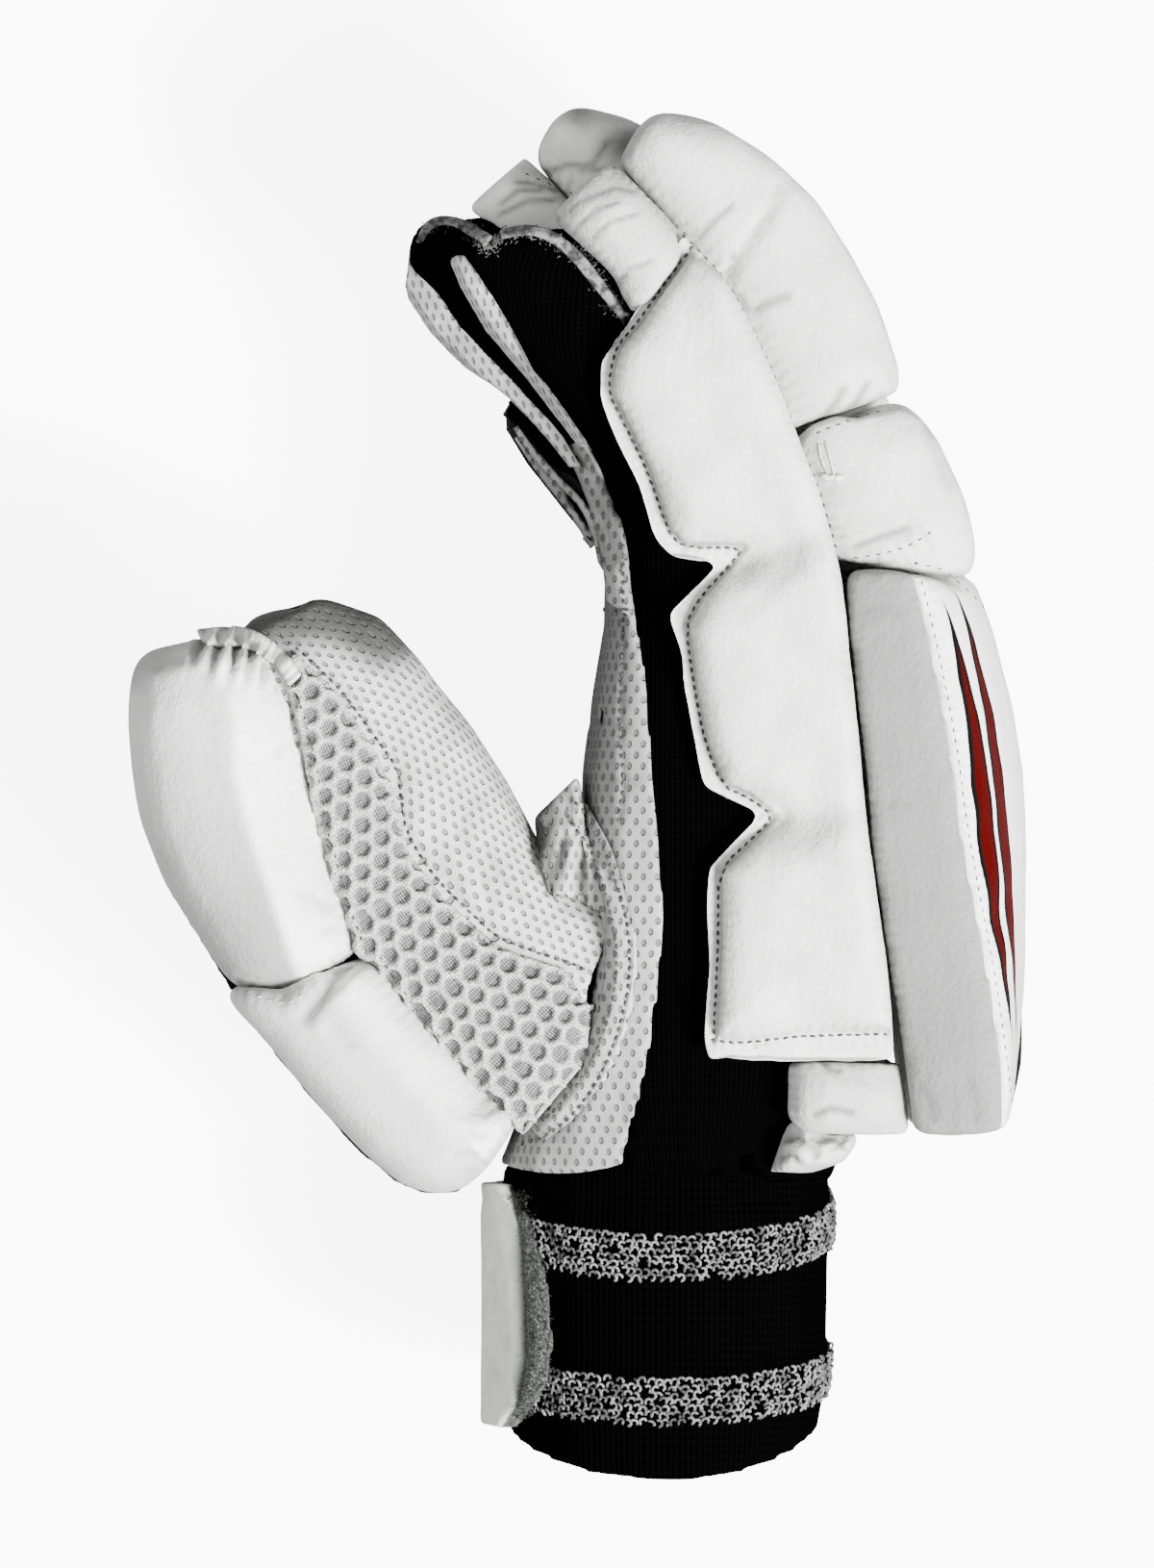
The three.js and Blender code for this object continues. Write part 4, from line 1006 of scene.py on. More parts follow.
def shape_side_bar(form):
    top = form.top()
    # Painted shade: greyer towards the stitched edge and upper corner, and dark down the stitch groove
    form.dull = upper_shade(form, BAR_STITCHES, 13, 0.2) * smooth_step(form.points[:, 2], 105, 108)
    form.dirt = bump(form.line(BAR_STITCHES)[0], 0.8) * 0.75
    form.dull += upper_shade(form, [(713, 247), (756, 292), (776, 327)], 16, 0.15)
    form.seam(BAR_STITCHES, 0.75, 0.75, top, 0.35)
    form.seam(BAR_FOOT_STITCHES, 0.75, 0.75, top, 0.35)
    form.ripples(BAR_STITCHES, 2.3, 0.17, 2.2, top, 21)
    form.ripples(BAR_FOOT_STITCHES, 2.3, 0.2, 2.4, top, 22)
    foot = bump(form.line(BAR_FOOT_EDGE)[0], 2.4)
    form.points[:, 1] += foot * wobble(form.points, 5.0, 24) * 0.8
    form.ripples(BAR_RIGHT_EDGE, 2.3, 0.1, 2.0, top, 23)
    form.creases((
        ([(838, 520), (848, 546), (852, 590)], 0.16, 1.6),
        ([(780, 640), (800, 612), (836, 584)], 0.22, 2.2),
        ([(790, 905), (812, 884), (850, 862)], 0.22, 2.2),
        ([(700, 520), (712, 545), (740, 560)], 0.2, 1.6),
        ([(748, 790), (770, 810), (800, 826)], 0.2, 1.8),
    ), top, 0.3, 0.15)
    slack = wobble(form.points * (1, 0.35, 1), 5.0, 31) * wobble(form.points, 17.0, 32)
    form.move(slack * 0.07 * top)


def padded_with_base(node, base, shape, voxel, cap):
    """As leather_pad, for a piece that has its own cross-section before it is filled."""
    obj = copy_of(node, node + "_padded")
    remesh(obj, voxel, 3, 0.4)
    form = Form(obj)
    base(form)
    form.done()
    soften(obj, 2, 0.4)
    apply_modifiers(obj)
    inflate(obj, cap)
    subdivide(obj)
    form = Form(obj)
    form.move(wobble(form.points, 30.0, len(node)) * 0.15)
    shape(form)
    form.done()
    dress(obj, "white_leather", node)
    return obj


def shape_hidden_bar(form):
    form.move(wobble(form.points, 6.0, 41) * 0.12)


padded_with_base("side_bar_index", index_bar_base, shape_side_bar, 1.4, 0.5)
leather_pad("side_bar_little", shape_hidden_bar, voxel=2.2, cap=0.5, smoothing=2)


# The block over the back of the hand, and the pads between it and the wrist
BACK_RIDGE = [
    (951, 587), (967, 648), (986, 740), (995, 794), (1003, 858), (1021, 957), (1036, 1036),
    (1045, 1109), (1051, 1153),
]


def shape_back_side(form):
    top = form.top(0.1)
    ridge, _, _ = form.line(BACK_RIDGE)
    # Painted shade: all but the ridge grey, as a face turned from the light
    form.dull = 0.86 * smooth_step(ridge, 0.5, 2.0)
    form.seam(BACK_RIDGE, 0.3, 0.8, top, 0.3)
    form.ripples(BACK_RIDGE, 2.4, 0.08, 1.8, top, 51)
    form.ripples(BAR_RIGHT_EDGE, 2.6, 0.1, 2.2, top, 52)
    form.creases((
        ([(890, 640), (912, 634), (940, 640)], 0.15, 1.8),
        ([(916, 840), (930, 832), (946, 838)], 0.12, 1.2),
        ([(950, 1120), (962, 1142), (968, 1168)], 0.3, 1.3),
        ([(1000, 1110), (1010, 1140), (1012, 1170)], 0.2, 1.4),
    ), top, 0.3, 0.2)


def shape_back_top(form):
    form.move(wobble(form.points, 12.0, 61) * 0.12)
    front = form.facing((0.3, 0, 1), 0.3, 0.8)
    form.ripples(BACK_RIDGE, 2.4, 0.08, 1.8, front, 53)


def shape_wrist_pad(form):
    top = form.top()
    form.dull = np.full(len(form.points), 0.35)
    form.crease([(852, 1096), (860, 1110), (876, 1112)], 0.3, 1.0, top)
    form.crease([(840, 1160), (862, 1150), (890, 1156)], 0.25, 1.2, top)
    form.ripples([(819, 1089), (875, 1091), (933, 1089)], 2.6, 0.2, 2.8, top, 71)
    form.ripples([(816, 1086), (819, 1124), (816, 1165)], 2.2, 0.28, 2.4, top, 72)


def shape_flare(form):
    form.pull((822, 1178), 9.0, (0.5, 2.8, 0.0))
    form.dull = np.full(len(form.points), 0.28)
    top = form.top()
    form.creases((
        ([(812, 1186), (826, 1178), (842, 1190), (850, 1206)], 1.1, 1.1),
        ([(836, 1176), (850, 1182), (866, 1180), (884, 1184)], 0.9, 1.2),
        ([(806, 1206), (818, 1200), (830, 1206)], 0.6, 0.9),
        ([(862, 1196), (872, 1190), (882, 1194)], 0.5, 0.8),
    ), top, 0.5, 0.6)


leather_pad("back_side_index", shape_back_side, voxel=1.8, cap=0.2, smoothing=3)
leather_pad("back_side_little", None, voxel=2.4, cap=0.2, smoothing=3)
leather_pad(
    "back_top", shape_back_top, cap=0.7, smoothing=3, material="printed_leather"
)
leather_pad("wrist_pad_index", shape_wrist_pad, voxel=1.4, cap=0.5, smoothing=3)
leather_pad("wrist_pad_little", None, voxel=2.0, cap=0.5, smoothing=3)
leather_pad("wrist_flare", shape_flare, voxel=1.1, cap=0.8, smoothing=3)


# Guards on the back of the thumb
UPPER_RIDGE = [(226, 690), (246, 747), (246, 805), (267, 879), (296, 967), (311, 1011), (318, 1034)]
LOWER_RIDGE = [(268, 1050), (330, 1110), (398, 1180), (470, 1222)]

GUARD_SEAM_UPPER = [
    (298, 706), (312, 736), (323, 776), (331, 817), (338, 861), (350, 902), (361, 943), (374, 976),
]


def shape_guard_upper(form):
    beside = bump(form.line(GUARD_SEAM_UPPER)[0], 3.0) * smooth_step(-form.points[:, 1], -10, 5)
    form.points[:, :2] += beside[:, None] * (1.1, 0.2)
    top = form.top()
    ridge, _, hand = form.line(UPPER_RIDGE)
    # Painted shade on the flank outside the ridge and towards the top edge
    outer = smooth_step(-ridge * hand, -1.5, 1.5)
    form.dull = (0.42 + 0.36 * smooth_step(-form.points[:, 1], -20, 40)) * outer
    form.dull += upper_shade(form, [(140, 700), (179, 663), (214, 659), (296, 690)], 7, 0.35)
    left = np.where(hand < 0, 0.0, 1.0) * smooth_step(ridge, 0, 20)
    right = np.where(hand < 0, 1.0, 0.0) * smooth_step(ridge, 0, 20)
    form.points[:, 2] += top * (bump(ridge, 5.0) * 0.8 - left * 2.4 - right * 1.0)
    for line, depth, width in (
        ([(216, 664), (206, 680), (200, 702)], 1.2, 1.0),
        ([(232, 664), (226, 684), (212, 716)], 1.5, 1.1),
        ([(248, 668), (244, 694), (234, 734)], 1.7, 1.2),
        ([(262, 676), (260, 702), (252, 730)], 1.4, 1.0),
        ([(278, 686), (276, 706), (270, 724)], 1.1, 0.9),
        ([(291, 698), (290, 714), (284, 726)], 0.8, 0.8),
    ):
        distance, place, _ = form.line(line)
        total = place.max() or 1.0
        fade = 1 - smooth_step(place, total * 0.25, total)
        form.move(-bump(distance, width) * depth * fade * top)
        form.move(bump(distance - width * 1.9, width) * depth * 0.45 * fade * top)
        # Painted shade down in the gathers
        form.dirt = np.maximum(form.dirt, bump(distance, width * 0.7) * fade * top * 0.75)
    form.creases((
        ([(308, 925), (330, 934), (352, 946)], 0.25, 1.4),
        ([(320, 770), (300, 776), (286, 790)], 0.2, 1.5),
        ([(334, 970), (350, 962), (366, 970)], 0.3, 1.2),
        ([(160, 700), (176, 690), (196, 688)], 0.3, 1.6),
    ), top, 0.3, 0.3)
    form.ripples([(311, 735), (330, 817), (349, 902), (372, 975)], 2.5, 0.18, 3.0, top, 81)
    form.ripples([(378, 981), (340, 1016), (308, 1040), (267, 1033), (237, 1021)], 2.6, 0.2, 3.0, top, 82)


GUARD_SEAM_LOWER = [(388, 988), (402, 1009), (429, 1047), (455, 1079), (488, 1114), (520, 1155)]


def shape_guard_lower(form):
    form.pull((262, 1048), 8.5, (-3.4, 2.6, 0.0))
    beside = bump(form.line(GUARD_SEAM_LOWER)[0], 4.0)
    form.points[:, :2] += beside[:, None] * (1.1, 0.95)
    top = form.top()
    ridge, _, _ = form.line(LOWER_RIDGE)
    shade, _, side = form.line([(330, 990), (400, 1080), (478, 1172)])
    # Painted shade on the flank beyond the shade line
    form.dull = 0.5 * smooth_step(-shade * side, -2, 5)
    form.points[:, 2] += top * (bump(ridge, 6.0) * 0.7 - smooth_step(ridge, 4, 22) * 1.4)
    form.crease([(378, 984), (352, 1012), (324, 1048), (310, 1066)], 1.5, 1.8, top, 0.4, 0.45)
    form.crease([(346, 1040), (352, 1062), (372, 1090)], 0.4, 1.8, top, 0.3, 0.2)
    form.crease([(486, 1170), (500, 1180), (514, 1176)], 0.4, 1.3, top, 0.4, 0.4)
    form.crease([(470, 1200), (488, 1196), (504, 1200)], 0.3, 1.2, top, 0.4, 0.3)
    form.ripples([(387, 986), (428, 1045), (487, 1112), (524, 1158)], 2.5, 0.2, 3.0, top, 83)
    form.ripples([(374, 980), (340, 1016), (308, 1040), (240, 1026)], 2.6, 0.22, 3.2, top, 84)
    form.ripples([(543, 1157), (529, 1184), (505, 1221)], 2.6, 0.2, 3.0, top, 85)


# The guards in the lit copy of the white leather, as painted light
leather_pad(
    "thumb_guard_upper", shape_guard_upper,
    voxel=2.0, cap=1.2, smoothing=4, material="painted_lit_leather",
)
leather_pad(
    "thumb_guard_lower", shape_guard_lower,
    voxel=2.0, cap=1.2, smoothing=4, material="painted_lit_leather",
)


# Perforated leather: thumb, palm, web and the strips under the fingers
def follow_tube(form, axis, middle, radius):
    """Coordinates that run along a tube and round it, joined on the side that faces the floor."""
    line = rounded_line(spot(axis), 2)
    distance, place, hand = along_line(form.points[:, :2], line)
    round_about = np.arctan2(distance * hand, form.points[:, 2] - middle)
    lie(form.obj, round_about * radius, place)


THUMB_AXIS = [(250, 650), (330, 690), (400, 740), (450, 800), (500, 880), (560, 950), (640, 1040)]
THUMB_TOP_EDGE = [
    (237, 648), (281, 632), (331, 624), (363, 628), (390, 644), (428, 676), (472, 726), (510, 782),
    (551, 843), (560, 852),
]
MESH_SEAM = [
    (296, 664), (308, 673), (325, 688), (355, 717), (375, 744), (393, 770), (407, 788), (416, 805),
    (419, 835), (422, 858), (431, 879), (457, 917), (487, 946), (516, 973), (542, 984), (560, 990),
    (590, 1000), (606, 1006),
]


def wall_piece(node, slot, voxel, smoothing, shape=None, material=None):
    """A thin piece made even and smooth from its solid, shaped and dressed."""
    obj = copy_of(node, node + "_skin")
    remesh(obj, voxel, smoothing)
    form = Form(obj)
    if shape:
        shape(form)
    form.done()
    dress(obj, material or slot, node)
    return obj


def shape_thumb_stall(form):
    form.pull((262, 664), 11.0, (-2.2, 2.6, 0.0))
    form.pull((300, 642), 9.0, (-0.8, 1.0, 0.0))
    form.pull((366, 646), 24.0, (1.1, 1.5, 0.0))
    form.pull((604, 965), 10.0, (2.2, 0.0, 0.0))
    form.pull((600, 992), 6.0, (1.8, 0.0, 0.0))
    top = form.top()
    # Painted shade: greyer where the stall turns from the light and along its top edge, and a near-black
    # band along the crown
    shade = form.facing((0.35, 0.9, -0.1), 0.1, 0.9)
    edge, _, _ = form.line(THUMB_TOP_EDGE)
    crown, _, _ = form.line([(225, 645), (281, 632), (331, 624), (363, 628), (400, 650)])
    form.dull = np.maximum(shade * 0.42, (1 - smooth_step(edge, 1, 8)) * 0.35)
    form.dull = np.maximum(form.dull, 1 - smooth_step(crown, 5, 14))
    form.dirt = np.maximum(form.dirt, (1 - smooth_step(crown, 3, 13)) * 0.97)
    form.creases((
        ([(470, 850), (500, 900), (520, 960)], 0.5, 2.0),
        ([(500, 870), (520, 905), (548, 940)], 0.6, 1.8),
        ([(452, 880), (480, 930), (512, 965)], 0.4, 1.4),
        ([(300, 640), (340, 650), (376, 668)], 0.35, 1.6),
        ([(330, 632), (370, 648), (400, 676)], 0.3, 1.4),
    ), top, 0.4, 0.3)
    form.seam(MESH_SEAM, 1.0, 1.2, top, 0.55)
    form.ripples(MESH_SEAM, 2.3, 0.16, 2.4, top, 101)
    form.move(wobble(form.points, 14.0, 102) * 0.25 * top)
    follow_tube(form, THUMB_AXIS, 82.5, 14.0)


wall_piece("thumb_stall", "perforated_leather", 1.1, 10, shape_thumb_stall)


def shape_web(form):
    top = form.top()
    form.pull((606, 940), 11.0, (1.8, 0.0, 0.0))
    hollow, _, _ = form.line([(562, 846), (557, 890), (552, 965)])
    # Painted shade, grey and dark down the hollow
    form.dull = 0.25 + 0.75 * (1 - smooth_step(hollow, 2, 7))
    form.dirt = 1 - smooth_step(hollow, 0.5, 5.5)
    form.creases((
        ([(560, 850), (556, 890), (562, 950)], 1.8, 1.6),
        ([(590, 862), (576, 910), (562, 962)], 1.8, 1.3),
        ([(603, 850), (604, 910), (603, 1000)], 1.8, 1.2),
        ([(578, 860), (572, 900), (566, 940)], 0.6, 1.0),
    ), top, 0.5, 0.9)
    # More painted shade down the hollow
    form.dirt = np.maximum(form.dirt, bump(form.line([(556, 856), (556, 960)])[0], 3.0) * 0.9)
    lie(form.obj, form.points[:, 0] * 1.1, form.points[:, 1])


wall_piece("thumb_web", "perforated_leather", 0.9, 6, shape_web)

PALM_BINDING_OUTER = [
    (600, 836), (622, 868), (635, 898), (646, 932), (654, 970), (655, 1007), (651, 1042), (638, 1088),
    (619, 1128), (595, 1160), (568, 1182), (544, 1190),
]
PALM_BINDING_INNER = [
    (592, 850), (612, 880), (624, 908), (634, 942), (641, 976), (642, 1007), (638, 1040), (626, 1080),
    (608, 1118), (586, 1146), (562, 1168), (540, 1180),
]
PALM_RIGHT_EDGE = [
    (645, 545), (648, 560), (651, 572), (658, 625), (665, 652), (670, 696), (675, 742), (677, 802),
    (684, 875), (689, 914), (689, 954), (686, 1007), (677, 1088), (666, 1141), (655, 1182), (648, 1224),
    (645, 1250),
]
PALM_LONG_SEAM = [(649, 560), (648, 637), (647, 705), (645, 754), (649, 814), (644, 853)]
PALM_CROSS_SEAM = [(629, 633), (640, 636), (652, 635)]


CUFF_SOLID = Skin([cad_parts["wrist_cuff"]])


def hem(form):
    """The foot of the palm leather laid over the top of the cuff, with a rounded outline."""
    x = form.points[:, 0]
    share = smooth_step(-form.points[:, 1], 71.5, 78.0)
    middle = np.clip(1 - ((x - spot([(578, 0)])[0][0]) / 15.0) ** 2, 0, 1)
    form.points[:, 1] -= share * (1.2 + 2.6 * middle)
    for index in np.nonzero((form.points[:, 1] < -76.5) & (form.ways[:, 2] > 0))[0]:
        place = form.points[index]
        hit = CUFF_SOLID.drop((place[0], place[1], ABOVE_ALL), DOWN)
        if hit:
            form.points[index, 2] = max(place[2], hit[0][2] + 0.8)


def shape_palm(form):
    form.trim(PALM_RIGHT_EDGE, 1)
    hem(form)
    top = form.top(0.4)
    form.seam(PALM_LONG_SEAM, 0.5, 0.6, top, 0.5)
    form.seam(PALM_CROSS_SEAM, 0.5, 0.6, top, 0.5)
    form.seam(PALM_BINDING_OUTER, 0.4, 0.7, top, 0.3)
    form.creases((
        ([(612, 740), (630, 752), (660, 760)], 0.3, 1.6),
        ([(618, 800), (640, 812), (668, 812)], 0.25, 1.4),
        ([(640, 1130), (650, 1150), (652, 1180)], 0.3, 1.2),
    ), top, 0.3, 0.3)
    # Painted shade: greyer where the palm turns from the light, less grey round its middle, and dark along
    # its left edge
    form.dull = 0.62 + 0.38 * form.facing((-0.6, 0.5, -0.3), 0.1, 0.8)
    form.dull -= bump(form.points[:, 1] + 35, 22.0) * 0.25
    left, _, _ = form.line([(613, 560), (628, 600), (622, 652), (608, 742), (604, 797), (606, 850)])
    form.dirt = np.maximum(form.dirt, (1 - smooth_step(left, 0, 8)) * 0.55)
    across = np.arctan2(form.points[:, 2] - HAND_MIDDLE, -(form.points[:, 0] - 30)) * 34
    lie(form.obj, across, form.points[:, 1])


wall_piece("palm_leather", "perforated_leather", 1.2, 5, shape_palm)


def shape_binding(form):
    top = form.top()
    form.seam(PALM_BINDING_OUTER, 0.3, 0.5, top, 0.4)
    form.seam(PALM_BINDING_INNER, 0.3, 0.5, top, 0.4)
    form.ripples(PALM_BINDING_OUTER, 2.3, 0.12, 1.6, top, 111)
    form.dull = 0.5 + 0.2 * wobble(form.points, 16.0, 112)
    lie(form.obj, form.points[:, 0], form.points[:, 1])


wall_piece("palm_binding", "perforated_leather", 0.9, 3, shape_binding, material="white_leather")


# Edges of the strips that show along the fingers, from the tips down to the palm
STRIP_EDGES = {
    "index": [
        (476, 250), (483, 268), (500, 292), (518, 320), (534, 347), (549, 376), (555, 388), (568, 402),
        (581, 420), (594, 438), (607, 457), (620, 478), (632, 500),
    ],
    "middle": [
        (420, 262), (430, 280), (450, 299), (477, 328), (507, 362), (533, 391), (560, 423), (585, 453),
        (603, 483), (618, 508), (630, 543),
    ],
}
MIDDLE_CONTOUR = [
    (432, 236), (427, 256), (424, 277), (421, 294), (424, 312), (440, 344), (459, 366), (488, 383),
    (511, 397), (529, 411), (548, 430), (568, 452), (590, 480), (606, 510), (616, 540), (626, 596),
]
RING_CONTOUR = [
    (560, 396), (534, 420), (526, 429), (526, 438), (547, 473), (576, 511), (602, 544), (620, 576),
    (627, 596),
]


def shape_strip(form):
    form.dirt = np.clip(wobble(form.points, 2.0, 123), 0, 1) * 0.3
    form.dull = 0.15 + 0.2 * wobble(form.points, 14.0, 124)
    form.move(wobble(form.points, 3.2, 121) * 0.1)
    lie(form.obj, form.points[:, 0] * 0.8 + form.points[:, 2] * 0.6, form.points[:, 1])


def shape_index_strip(form):
    form.trim(STRIP_EDGES["index"], 1)
    shape_strip(form)
    form.dirt = np.maximum(form.dirt, bump(form.line(STRIP_EDGES["index"])[0], 0.4) * 0.3)


def shape_middle_strip(form):
    form.trim(STRIP_EDGES["middle"], 1)
    form.trim(MIDDLE_CONTOUR, -1, 0.95)
    shape_strip(form)
    form.dirt = np.maximum(form.dirt, bump(form.line(STRIP_EDGES["middle"])[0], 0.4) * 0.3)


def shape_far_strip(form):
    form.trim(RING_CONTOUR, -1, 0.95)
    shape_strip(form)
    form.bound = smooth_step(form.points[:, 2] - form.points[:, 2].mean(), -7, -5)
    form.points[:, 2] -= form.bound * 3.0


STRIP_SHAPES = {
    "index": shape_index_strip,
    "middle": shape_middle_strip,
    "ring": shape_far_strip,
    "little": shape_far_strip,
}
for finger, shape in STRIP_SHAPES.items():
    wall_piece("finger_strip_" + finger, "perforated_leather", 0.9, 4, shape)


# Spacer mesh between the guards and the thumb
MESH_RUN = [(312, 690), (345, 760), (380, 840), (425, 920), (490, 1010), (560, 1080), (600, 1110)]
HOLE_PITCH = 4.7


def shape_mesh(form):
    for seam in (GUARD_SEAM_UPPER, GUARD_SEAM_LOWER):
        beside = bump(form.line(seam)[0], 4.0)
        form.points[:, :2] -= beside[:, None] * (1.7, 1.1)
    form.pull((606, 1006), 8.0, (1.6, 0.0, 0.0))
    top = form.top(0.35)
    distance, along, hand = form.line(MESH_RUN)
    u = distance * hand / HOLE_PITCH + 0.1 * wobble(form.points, 30.0, 131)
    v = along / (HOLE_PITCH * 0.9) + 0.1 * wobble(form.points, 26.0, 132)
    u = u + 0.5 * (np.floor(v) % 2)
    across = (u - np.floor(u) - 0.5) * HOLE_PITCH
    up = (v - np.floor(v) - 0.5) * HOLE_PITCH * 0.9
    slanted = 0.5 * np.abs(across) + 0.87 * np.abs(up)
    six_sided = np.maximum(np.abs(across), slanted) / 1.8
    radius = 0.5 * six_sided + 0.5 * np.sqrt(across ** 2 + up ** 2) / 1.9
    hole = 1 - smooth_step(radius, 0.8, 1.05)
    rim = bump(radius - 1.2, 0.16)
    fibres = wobble(form.points, 0.9, 133) * 0.1 + wobble(form.points, 1.7, 134) * 0.1
    form.move(top * (rim * 0.4 - hole * 1.25 + fibres))
    form.seam(MESH_SEAM, 0.5, 1.2, top, 0.2)
    mark(form.obj, "hole", hole * top)
    lie(form.obj, distance * hand, along)


wall_piece("thumb_mesh", "spacer_mesh", 0.48, 5, shape_mesh)


# Black knit: hand, fingers and cuff
FOOT_IN_CUFF = 3.6
RIM_SAG = 3.4


def shape_hand(form):
    form.move(wobble(form.points, 16.0, 201) * 0.3)
    foot = smooth_step(-form.points[:, 1], 73, 78)
    form.points[:, 1] -= foot * FOOT_IN_CUFF
    form.points[:, 2] -= foot * (form.points[:, 2] - HAND_MIDDLE) * 0.03
    across = np.arctan2(form.points[:, 2] - HAND_MIDDLE, form.points[:, 0] - 24) * 36
    lie(form.obj, across, form.points[:, 1])


wall_piece("hand_shell", "black_knit", 1.6, 4, shape_hand)


def shape_stall(form):
    form.move(wobble(form.points, 12.0, 202) * 0.25)
    lie(form.obj, form.points[:, 0] * 0.7 + form.points[:, 2], form.points[:, 1])


def shape_middle_stall(form):
    form.trim(MIDDLE_CONTOUR, -1, 0.95)
    form.move(np.full(len(form.points), -0.3))
    shape_stall(form)


def shape_far_stall(form):
    form.trim(RING_CONTOUR, -1, 0.95)
    shape_stall(form)


STALL_SHAPES = {
    "index": shape_stall,
    "middle": shape_middle_stall,
    "ring": shape_far_stall,
    "little": shape_far_stall,
}
for finger, shape in STALL_SHAPES.items():
    wall_piece("finger_stall_" + finger, "black_knit", 1.1, 8, shape)

CUFF_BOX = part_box("wrist_cuff")
CUFF_MIDDLE = ((CUFF_BOX[0] + CUFF_BOX[1]) / 2) / MM


def shape_cuff(form):
    outward = form.points - np.array((CUFF_MIDDLE[0], 0, CUFF_MIDDLE[2]))
    angle = np.arctan2(outward[:, 2], outward[:, 0])
    form.move(wobble(form.points, 20.0, 211) * 0.25)
    form.points[:, 1] += smooth_step(form.points[:, 1], -84, -80) * 0.7
    form.pull((652, 1211), 7.0, (0.0, 3.4, 0.0))
    foot = smooth_step(-form.points[:, 1], 124, 142)
    side = outward[:, 0] / 35
    form.points[:, 1] -= foot * np.clip(1 - side * side, 0, 1) * RIM_SAG
    form.points[:, 0] -= foot * smooth_step(side, 0.2, 1.0) * 1.6
    lie(form.obj, angle * 34, form.points[:, 1])


wall_piece("wrist_cuff", "elastic_cuff", 1.3, 4, shape_cuff)


STRAP_GROOVE = [
    (526, 1200), (530, 1224), (536, 1247), (541, 1302), (544, 1358), (545, 1413), (535, 1469), (520, 1500),
]


def shape_strap(form):
    form.move(wobble(form.points, 14.0, 221) * 0.25 + wobble(form.points, 2.4, 222) * 0.06)
    groove, _, hand = form.line(STRAP_GROOVE)
    form.dull = smooth_step(groove * hand, -2.6, 0.8)
    # Painted shade down the groove
    form.dirt = bump(groove, 0.5) * 0.8
    form.move(-bump(groove, 0.8) * 0.7 * form.top())
    form.move(smooth_step(groove * hand, 0.4, 1.6) * 0.5 * form.top())
    lie(form.obj, form.points[:, 2], form.points[:, 1])


wall_piece("wrist_strap", "strap_tape", 0.9, 3, shape_strap)


def shape_back_backing(form):
    form.points[:, 0] += bump(form.points[:, 1] + 56, 20.0) * 1.3


wall_piece("back_backing", "black_backing", 1.2, 2, shape_back_backing)
wall_piece("thumb_backing", "black_backing", 1.2, 2)


# Trims sewn on after the padding
def finished(*words):
    """Pieces made so far whose names start with one of the words."""
    return [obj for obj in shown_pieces() if obj.name.startswith(words) and not obj.hide_render]


def on_skin(skin, line, pitch, lift, shift):
    """Places and directions at an even pitch where a line on the photograph meets the pieces."""
    found = []
    path = rounded_line(spot(line), 1)
    for point, way in steps_along(path, pitch):
        side = np.array((-way[1], way[0])) * shift
        hit = skin.drop((point[0] + side[0], point[1] + side[1], ABOVE_ALL), DOWN)
        if hit:
            found.append((hit[0] + hit[1] * lift, hit[1], Vector((way[0], way[1], 0))))
    return found


def stitch_frame(place, normal, way):
    """Turns a bead along the seam, lying on the skin."""
    across = normal.cross(way).normalized()
    along = across.cross(normal).normalized()
    matrix = Matrix((along, across, normal)).transposed().to_4x4()
    matrix.translation = place * MM
    return matrix


def stitches(
    name, skin, lines, pitch=1.85, length=1.3, width=0.66, lift=0.1, shift=0.0, material="stitch_thread"
):
    rng = random.Random(name)
    matrices = []
    for line in lines:
        for place, normal, way in on_skin(skin, line, pitch, lift, shift):
            turn = Matrix.Rotation(rng.uniform(-0.22, 0.22), 3, "Z") @ way
            matrices.append(stitch_frame(place, normal, turn))
    obj = scatter(name, bead(length, width), matrices)
    return dress(obj, material)


def at_share(line, shares):
    """Points at shares of a polyline's length."""
    walked = np.concatenate([[0], np.cumsum(np.linalg.norm(np.diff(line, axis=0), axis=1))])
    places = shares * walked[-1]
    return np.column_stack([np.interp(places, walked, line[:, 0]), np.interp(places, walked, line[:, 1])])


